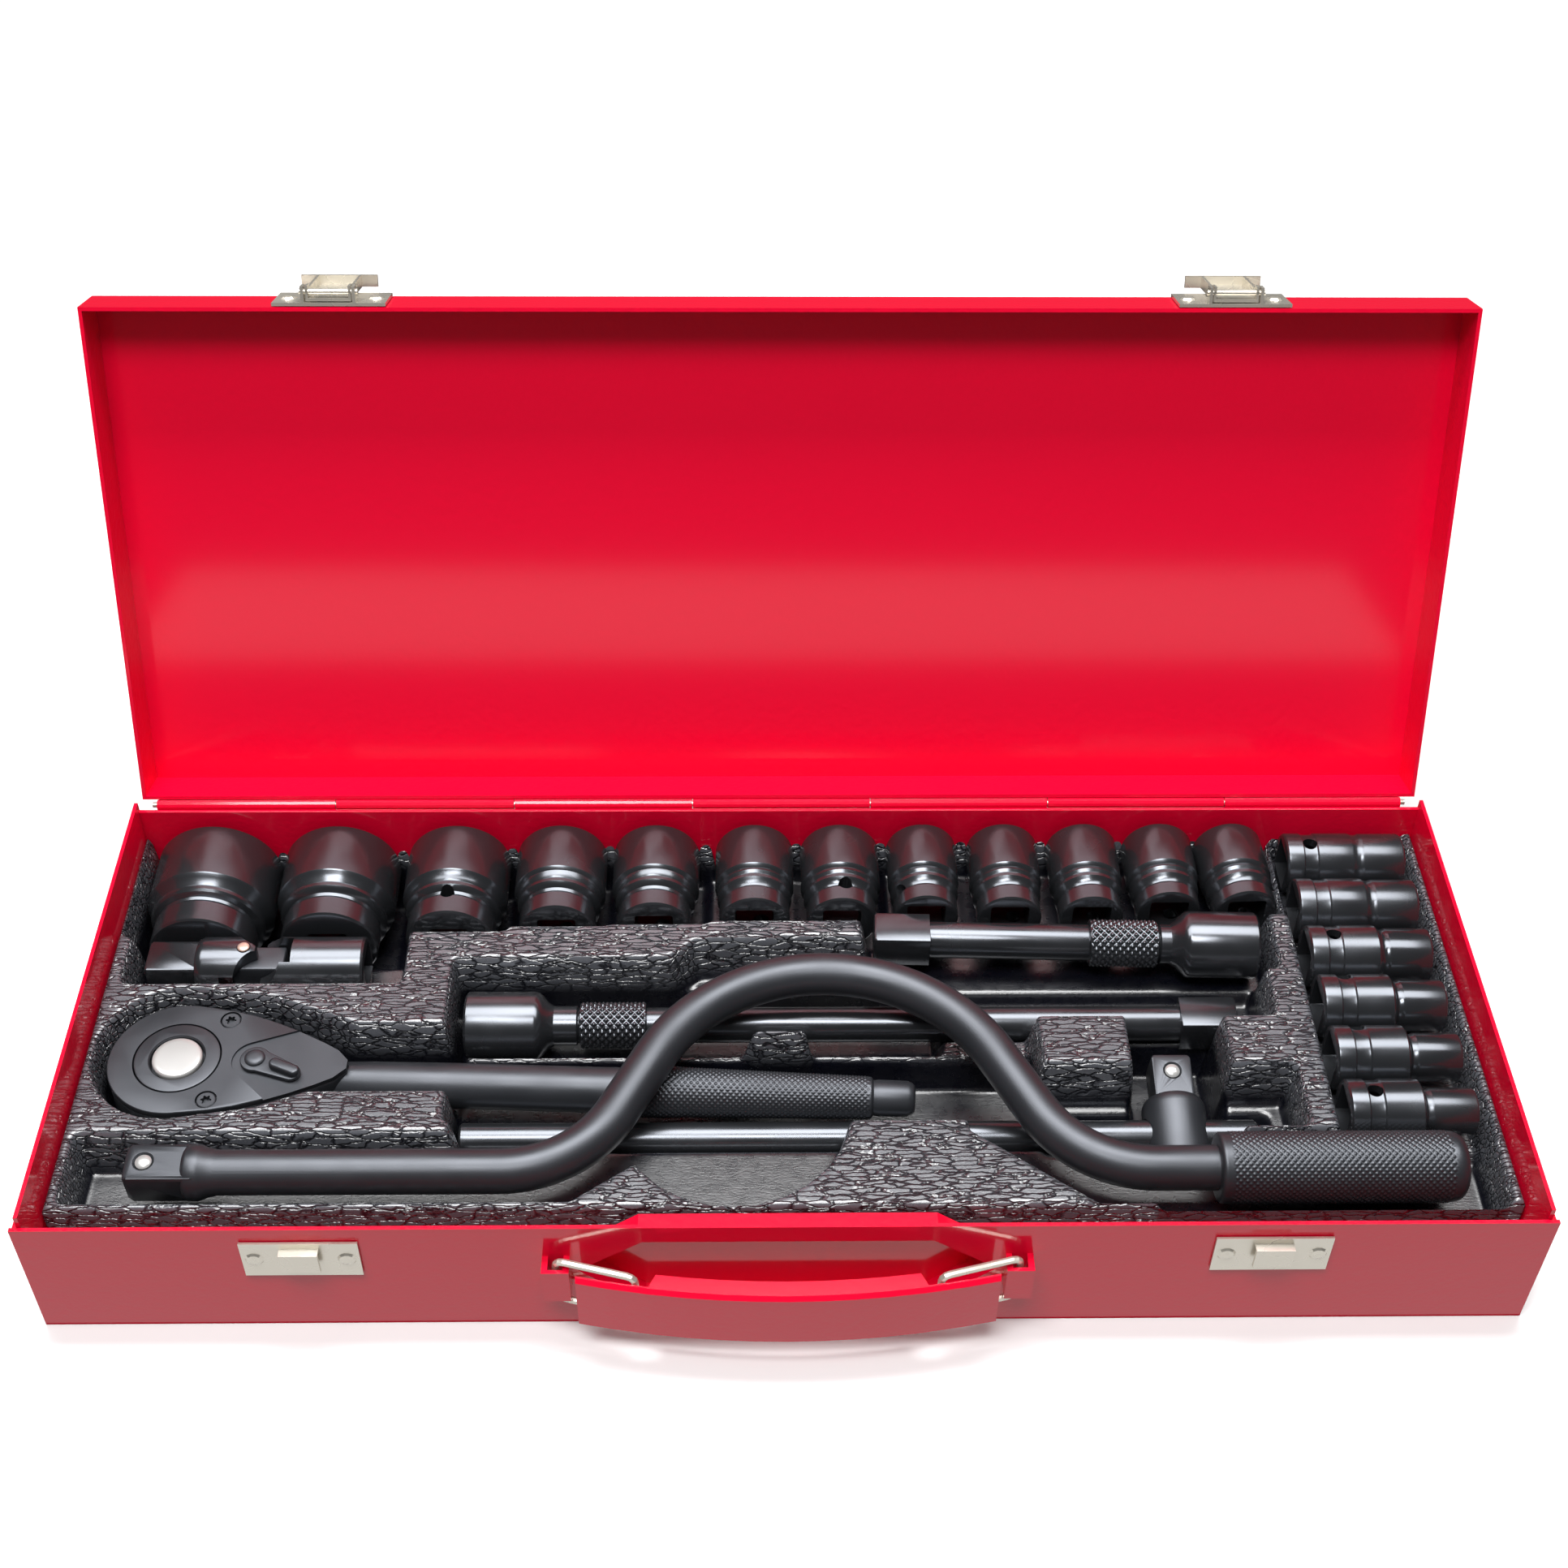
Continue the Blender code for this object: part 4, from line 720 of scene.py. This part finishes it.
def make_tbar():
    (start, _), (end, _) = spine("tbar_rod", 0)
    length = (end - start).length
    radius = 5.25 * MM
    profile = [(0, radius - 1.2 * MM), (0.3 * MM, radius - 0.5 * MM), (1.0 * MM, radius)]
    profile += [(length - z, r) for z, r in reversed(profile)]
    finished(turned(profile, 56, along(start, end)), "look_tbar_rod", "tbar_rod", 30)
    low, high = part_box("tbar_head")
    centre = Vector(((low.x + high.x) / 2, start.y, start.z))
    tilt = math.radians(12)
    aim = Matrix.Translation(centre) @ Matrix.Rotation(-QUARTER + tilt, 4, "X")
    body = [
        (-11 * MM, 8.4 * MM), (-10.7 * MM, 9.2 * MM), (-10 * MM, 9.8 * MM), (-9.2 * MM, 10 * MM),
        (8.2 * MM, 10 * MM), (9.6 * MM, 9.9 * MM), (10.8 * MM, 9.4 * MM), (11.6 * MM, 8.8 * MM),
        (12 * MM, 8.2 * MM),
    ]
    square = square_bar(PLUG_HALF, 10 * MM, 26 * MM, aim, edge=0.8 * MM, tip=1.4 * MM)
    head = join(turned(body, 64, aim), square)
    passage = rod(radius + 0.25 * MM, -20 * MM, 20 * MM, 56, along(centre, centre + Vector((1, 0, 0))))
    seat = aim @ Matrix.Translation((0, -PLUG_HALF, 20 * MM)) @ Matrix.Rotation(QUARTER, 4, "X")
    dimple = [(-2 * MM, 1.8 * MM), (-0.9 * MM, 2.2 * MM), (0, 3.0 * MM), (1 * MM, 3.6 * MM)]
    head = cut(head, passage, turned(dimple, 32, seat))
    finished(head, "look_tbar_head", "tbar_head", 30)
    ball = ball_dome(2.4 * MM, seat @ Matrix.Translation((0, 0, -0.5 * MM)))
    finished(ball, "look_tbar_ball", "tbar_detent_ball")


def curved_plane():
    """The curved handle's plane, its axis along X and its bow along local Y, then its stations along X."""
    grip_low, grip_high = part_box("curved_handle_grip")
    centre = (grip_low + grip_high) / 2
    tilt = math.radians(3.5)
    plane = Matrix.Translation((0, centre.y, centre.z)) @ Matrix.Rotation(tilt, 4, "X")
    return plane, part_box("curved_handle_bar")[0].x, grip_low.x, grip_high.x


def bowed_route(start, end):
    """The bar's line in its plane: two straight ends and a crown between two bends."""
    crown_x, crown, foot, flank = 12.5 * MM, 60 * MM, 38.5 * MM, 23.5 * MM
    bend = math.radians(62)
    half = (foot + crown) * math.sin(bend) + flank * math.cos(bend)
    rise = (foot + crown) * (1 - math.cos(bend)) + flank * math.sin(bend)
    degrees = math.degrees(bend)
    left_bend = arc(crown_x - half, foot, foot, -90, -90 + degrees, 20)
    top = arc(crown_x, rise - crown, crown, 90 + degrees, 90 - degrees, 40)
    right_bend = [(2 * crown_x - x, y) for x, y in reversed(left_bend)]
    return [(start, 0), *left_bend, *top, *right_bend, (end, 0)]


def round_bar(route, radius, sides, plane):
    """A round bar along a route in a plane."""
    bm = bmesh.new()
    rings = []
    for k, (x, y) in enumerate(route):
        before, after = route[max(k - 1, 0)], route[min(k + 1, len(route) - 1)]
        way = Vector((after[0] - before[0], after[1] - before[1], 0)).normalized()
        side = Vector((-way.y, way.x, 0))
        ring = []
        for i in range(sides):
            a = math.tau * i / sides
            offset = side * math.cos(a) * radius + Vector((0, 0, math.sin(a) * radius))
            ring.append(bm.verts.new(plane @ (Vector((x, y, 0)) + offset)))
        rings.append(ring)
    return skinned(bm, rings)


def make_curved_handle():
    plane, left, grip_left, grip_right = curved_plane()
    bar = round_bar(bowed_route(left + 22 * MM, grip_left + 8 * MM), 6.75 * MM, 40, plane)
    collar = [
        (17.2 * MM, 7.0 * MM), (17.8 * MM, 7.9 * MM), (18.6 * MM, 8.3 * MM), (21.4 * MM, 8.3 * MM),
        (22.4 * MM, 8.0 * MM), (24 * MM, 7.3 * MM), (26 * MM, 6.9 * MM), (28 * MM, 6.6 * MM),
    ]
    shoulder = plane @ Matrix.Translation((left + 18.5 * MM, 0, 0)) @ Matrix.Rotation(-QUARTER, 4, "Y")
    square = square_bar(PLUG_HALF, -2 * MM, 18.5 * MM, shoulder, edge=1.0 * MM, tip=2.0 * MM)
    seat = plane @ Matrix.Translation((left + 6 * MM, 0, PLUG_HALF))
    dimple = [(-2 * MM, 1.9 * MM), (-0.9 * MM, 2.3 * MM), (0, 3.2 * MM), (1 * MM, 3.8 * MM)]
    bar = join(bar, turned(collar, 56, plane @ Matrix.Translation((left, 0, 0)) @ Z_TO_X), square)
    finished(cut(bar, turned(dimple, 32, seat)), "look_curved_bar", "curved_handle_bar", 32)
    ball = ball_dome(2.5 * MM, seat @ Matrix.Translation((0, 0, -0.45 * MM)))
    finished(ball, "look_curved_ball", "curved_handle_detent_ball")
    length = grip_right - grip_left
    r = 10.55 * MM
    dome = 4.5 * MM
    rows = 230
    profile = [(0, r - 2.2 * MM), (0.2 * MM, r - 0.6 * MM), (0.8 * MM, r)]
    profile += [(1.5 * MM + (length - 6 * MM) * i / rows, r) for i in range(rows + 1)]
    for t in (0.2, 0.5, 0.8, 1.1, 1.35, 1.57):
        profile.append((length - dome + dome * math.sin(t), r - dome + dome * math.cos(t)))
    worn = fading(knurl(0.26 * MM, 2.0 * MM, r), 3 * MM, length - 5 * MM, 0.8 * MM)
    sleeve = turned(profile, 260, plane @ Matrix.Translation((grip_left, 0, 0)) @ Z_TO_X, worn)
    finished(sleeve, "look_curved_grip", "curved_handle_grip", 60)


def make_universal_joint():
    plug, cup, cross = "ujoint_plug_yoke", "ujoint_socket_yoke", "ujoint_centre_block"
    plug_low, plug_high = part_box(plug)
    cup_low, cup_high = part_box(cup)
    block_low, block_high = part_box(cross)
    y, z = (plug_low.y + plug_high.y) / 2, (plug_low.z + plug_high.z) / 2
    radius = (plug_high.z - plug_low.z) / 2
    pin_a = block_low.x + 4.6 * MM
    pin_b = block_high.x - 4.6 * MM
    slot = 5.2 * MM
    far = 30 * MM
    sweep, pin_r = 12 * MM, 2.2 * MM

    base = pin_a - 16 * MM
    ear = plug_high.x
    span = ear - base
    body = turned(
        [(0, radius - 2.2 * MM), (0.6 * MM, radius - 0.8 * MM), (2 * MM, radius - 0.1 * MM), (3 * MM, radius),
         (span - 1.5 * MM, radius), (span - 0.4 * MM, radius - 0.5 * MM), (span, radius - 1.2 * MM)],
        56, along((base, y, z), (base + 1, y, z)),
    )
    to_tip = along((base, y, z), (base - 1, y, z))
    body = join(body, square_bar(DRIVE_HALF, -2 * MM, base - plug_low.x, to_tip))
    body = cut(
        body,
        block((pin_a - 7.5 * MM, y - far, z - slot), (ear + far, y + far, z + slot)),
        *[rod(sweep, -far, far, 56, upright(ear + 4.6 * MM, y + side * sweep, z)) for side in (-1, 1)],
        rod(pin_r, -far, far, 32, upright(pin_a, y, z)),
    )
    finished(body, "look_ujoint_plug", plug, 30)

    length = cup_high.x - cup_low.x
    place = along((cup_high.x, y, z), (cup_low.x, y, z))
    mouth = turned(
        [(0, radius - 1.3 * MM), (0.3 * MM, radius - 0.5 * MM), (1 * MM, radius), (length - 1.5 * MM, radius),
         (length - 0.4 * MM, radius - 0.5 * MM), (length, radius - 1.2 * MM)],
        56, place,
    )
    mouth = cut(
        mouth,
        block((cup_low.x - far, y - slot, z - far), (pin_b + 7.5 * MM, y + slot, z + far)),
        *[rod(sweep, -far, far, 56, across(cup_low.x - 4.6 * MM, y, z + side * sweep)) for side in (1, -1)],
        rod(pin_r, -far, far, 32, across(pin_b, y, z)),
        square_bar(DRIVE_HALF, -2 * MM, 14 * MM, place),
    )
    finished(mouth, "look_ujoint_socket", cup, 30)

    half = slot - 0.3 * MM
    centre = block((block_low.x, y - half, z - half), (block_high.x, y + half, z + half), bevel=0.7 * MM)
    reach = radius + 0.25 * MM
    pin = [(-reach, 1.3 * MM), (-reach + 0.3 * MM, 1.9 * MM), (reach - 0.3 * MM, 1.9 * MM), (reach, 1.3 * MM)]
    centre = join(centre, turned(pin, 32, upright(pin_a, y, z)), turned(pin, 32, across(pin_b, y, z)))
    finished(centre, "look_ujoint_centre", cross, 30)
    cap = [(reach - 0.3 * MM, 2.0 * MM), (reach + 0.1 * MM, 1.9 * MM), (reach + 0.35 * MM, 1.2 * MM)]
    bare = metal("bare_pin", (0.62, 0.44, 0.36), 0.30, 0.40, 1500, 0.02, 0.4)
    added(turned(cap, 32, upright(pin_a, y, z)), "look_ujoint_pin_cap", cross, SLOT_OF[cross], bare)


# ---------------------------------------------------------------- ratchet, in its own axes

# stations on the cover, from the middle of the head
RATCHET_SCREWS = ((13.5 * MM, 15.8 * MM), (12.5 * MM, -15.8 * MM))
LEVER_PIVOT = Vector((24.5 * MM, 0))


def ratchet_outline():
    """The head from above: round at the back and narrowing to the handle."""
    flank = [(8, 20.6), (14, 19.7), (21, 18.0), (29, 15.2), (37, 11.9), (44.6, 8.2), (49.5, 5.4), (53, 1.6)]
    lower = [Vector((x * MM, -y * MM)) for x, y in flank]
    back = arc(0, 0, 21.5 * MM, 82, 278, 60)
    return back + [tuple(p) for p in lower] + [(p.x, -p.y) for p in reversed(lower)]


def make_ratchet_body(place, head_low, cover_low):
    """The head with its shaft, and the knurled handle over the shaft."""
    body = prism(ratchet_outline(), head_low, cover_low, place, bevel=1.2 * MM)
    shaft = [
        (43, 6.4), (50, 6.5), (60, 6.9), (86, 7.15), (134, 7.2), (136.5, 7.3), (138.5, 7.0), (139.4, 6.6),
        (216.5, 6.0), (217.5, 5.5), (219, 5.75), (228, 5.6), (229.6, 5.0), (230.3, 4.2), (230.5, 3.2),
    ]
    shaft_place = place @ Matrix.Translation((0, 0, 25 * MM)) @ Z_TO_X
    body = join(body, turned([(x * MM, r * MM) for x, r in shaft], 56, shaft_place))
    rotor_room = rod(15.8 * MM, cover_low - 12 * MM, cover_low + 5 * MM, 64, place)
    drive_room = rod(10.6 * MM, head_low - MM, head_low + 5 * MM, 64, place)
    body = cut(body, rotor_room, drive_room)
    finished(body, "look_ratchet_body", "ratchet_body", 30, ["ratchet_pawl"])

    start, stop, rows = 140 * MM, 216.5 * MM, 250
    profile = [(start - 1.2 * MM, 6.4 * MM), (start - 0.4 * MM, 7.9 * MM)]
    for i in range(rows + 1):
        s = i / rows
        swell = 8.1 - 1.55 * s + 0.25 * math.sin(math.pi * min(1, s * 4))
        profile.append((start + (stop - start) * s, swell * MM))
    profile += [(stop + 0.4 * MM, 6.3 * MM), (stop + 0.9 * MM, 5.4 * MM)]
    worn = fading(knurl(0.24 * MM, 1.9 * MM, 7.6 * MM), start, stop, 1.5 * MM)
    added(turned(profile, 220, shaft_place, worn), "look_ratchet_knurl", "ratchet_body", "black_steel")


def make_ratchet_cover(place, cover_low, cover_top):
    """The plate on the head, open at the drive, with a seat for the lever and holes for the screws."""
    cover = prism(ratchet_outline(), cover_low - 0.25 * MM, cover_top, place, bevel=0.5 * MM)
    seat = arc(LEVER_PIVOT.x, 0, 7.4 * MM, 110, 235, 16)
    seat += [(31 * MM, -16 * MM), (60 * MM, -20 * MM), (60 * MM, 20 * MM), (38.5 * MM, 13.5 * MM)]
    sunk = prism(seat, cover_top - 0.7 * MM, cover_top + MM, place)
    holes = []
    for x, y in RATCHET_SCREWS:
        at = place @ Matrix.Translation((x, y, 0))
        holes.append(rod(3.35 * MM, cover_low + 0.5 * MM, cover_top + MM, 40, at))
    opening = rod(13.75 * MM, cover_low - MM, cover_top + MM, 72, place)
    finished(cut(cover, opening, sunk, *holes), "look_ratchet_cover", "ratchet_cover", 24)


def make_ratchet_drive(place, head_low):
    """The ring in the cover's opening, hollow at the top, and the square below the head."""
    square_low, top = (corner.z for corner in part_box("ratchet_drive"))
    rotor = turned(
        [(head_low - 0.5 * MM, 10.2 * MM), (head_low + 3.7 * MM, 10.2 * MM), (head_low + 3.8 * MM, 13.4 * MM),
         (top - 0.6 * MM, 13.35 * MM), (top - 0.15 * MM, 13.15 * MM), (top, 12.7 * MM)],
        72, place,
    )
    down = place @ Matrix.Rotation(math.pi, 4, "X")
    rotor = join(rotor, square_bar(PLUG_HALF, -head_low - MM, -square_low, down))
    hollow = [(top - 4 * MM, 8.5 * MM), (top - 0.6 * MM, 8.5 * MM), (top + MM, 9.6 * MM)]
    finished(cut(rotor, turned(hollow, 64, place)), "look_ratchet_drive", "ratchet_drive", 28)


def make_ratchet_button(place, top):
    profile = [
        (top - 2.6 * MM, 7.6 * MM), (top - 1.0 * MM, 7.8 * MM), (top - 0.35 * MM, 7.6 * MM),
        (top - 0.1 * MM, 7.1 * MM), (top, 6.0 * MM),
    ]
    finished(turned(profile, 64, place), "look_ratchet_button", "ratchet_button", 50)


def make_ratchet_screws(place, cover_low, cover_top):
    """Flat heads with a six-lobed recess."""
    profile = [
        (cover_low + 0.9 * MM, 3.0 * MM), (cover_top - 0.35 * MM, 3.0 * MM), (cover_top - 0.1 * MM, 2.7 * MM),
    ]
    star = []
    for k in range(48):
        a = math.tau * k / 48
        r = 1.45 * MM + 0.32 * MM * math.cos(6 * a)
        star.append((r * math.cos(a), r * math.sin(a)))
    for i, (x, y) in enumerate(RATCHET_SCREWS):
        at = place @ Matrix.Translation((x, y, 0))
        head = cut(turned(profile, 40, at), prism(star, cover_top - 1.3 * MM, cover_top + MM, at))
        finished(head, f"look_ratchet_screw_{i + 1}", f"ratchet_screw_{i + 1}", 30)


def make_ratchet_selector(place, foot):
    """The lever in its seat, with a round hub and a raised tab."""
    aim = place @ Matrix.Translation((LEVER_PIVOT.x, 0, 0)) @ Matrix.Rotation(math.radians(-22), 4, "Z")
    outline = arc(0, 0, 4.7 * MM, 60, 300, 24) + arc(13 * MM, 0, 3.0 * MM, -80, 80, 12)
    lever = prism(outline, foot, foot + 1.3 * MM, aim, bevel=0.35 * MM)
    hub = [
        (foot + 0.5 * MM, 3.2 * MM), (foot + 1.7 * MM, 3.2 * MM), (foot + 2.1 * MM, 2.9 * MM),
        (foot + 2.4 * MM, 2.2 * MM), (foot + 2.5 * MM, 1.0 * MM),
    ]
    ridge = arc(7.5 * MM, 0, 1.9 * MM, 90, 270, 12) + arc(14.2 * MM, 0, 1.9 * MM, -90, 90, 12)
    tab = prism(ridge, foot + 0.6 * MM, foot + 3.6 * MM, aim, bevel=0.9 * MM)
    finished(join(lever, turned(hub, 40, aim), tab), "look_ratchet_selector", "ratchet_selector", 30)


def make_ratchet():
    low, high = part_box("ratchet_button")
    centre = (low + high) / 2
    turn = math.radians(-2.4)
    place = Matrix.Translation((centre.x, centre.y, 0)) @ Matrix.Rotation(turn, 4, "Z")
    cover_low, cover_top = (corner.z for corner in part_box("ratchet_cover"))
    head_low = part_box("ratchet_body")[0].z
    make_ratchet_body(place, head_low, cover_low)
    make_ratchet_cover(place, cover_low, cover_top)
    make_ratchet_drive(place, head_low)
    make_ratchet_button(place, high.z)
    make_ratchet_screws(place, cover_low, cover_top)
    make_ratchet_selector(place, cover_top - 0.4 * MM)


make_tray()
make_extensions()
make_tbar()
make_curved_handle()
make_universal_joint()
make_ratchet()

SOFT_EDGES = {
    "case_base": 0.35 * MM, "case_lid": 0.35 * MM, "front_panel": 0.35 * MM, "handle_grip": 0.3 * MM,
    "catch_plate_left": 0.15 * MM, "catch_plate_right": 0.15 * MM, "latch_plate_left": 0.15 * MM,
    "latch_plate_right": 0.15 * MM, "latch_lever_left": 0.2 * MM, "latch_lever_right": 0.2 * MM,
}
for name, width in SOFT_EDGES.items():
    soften(name, width)
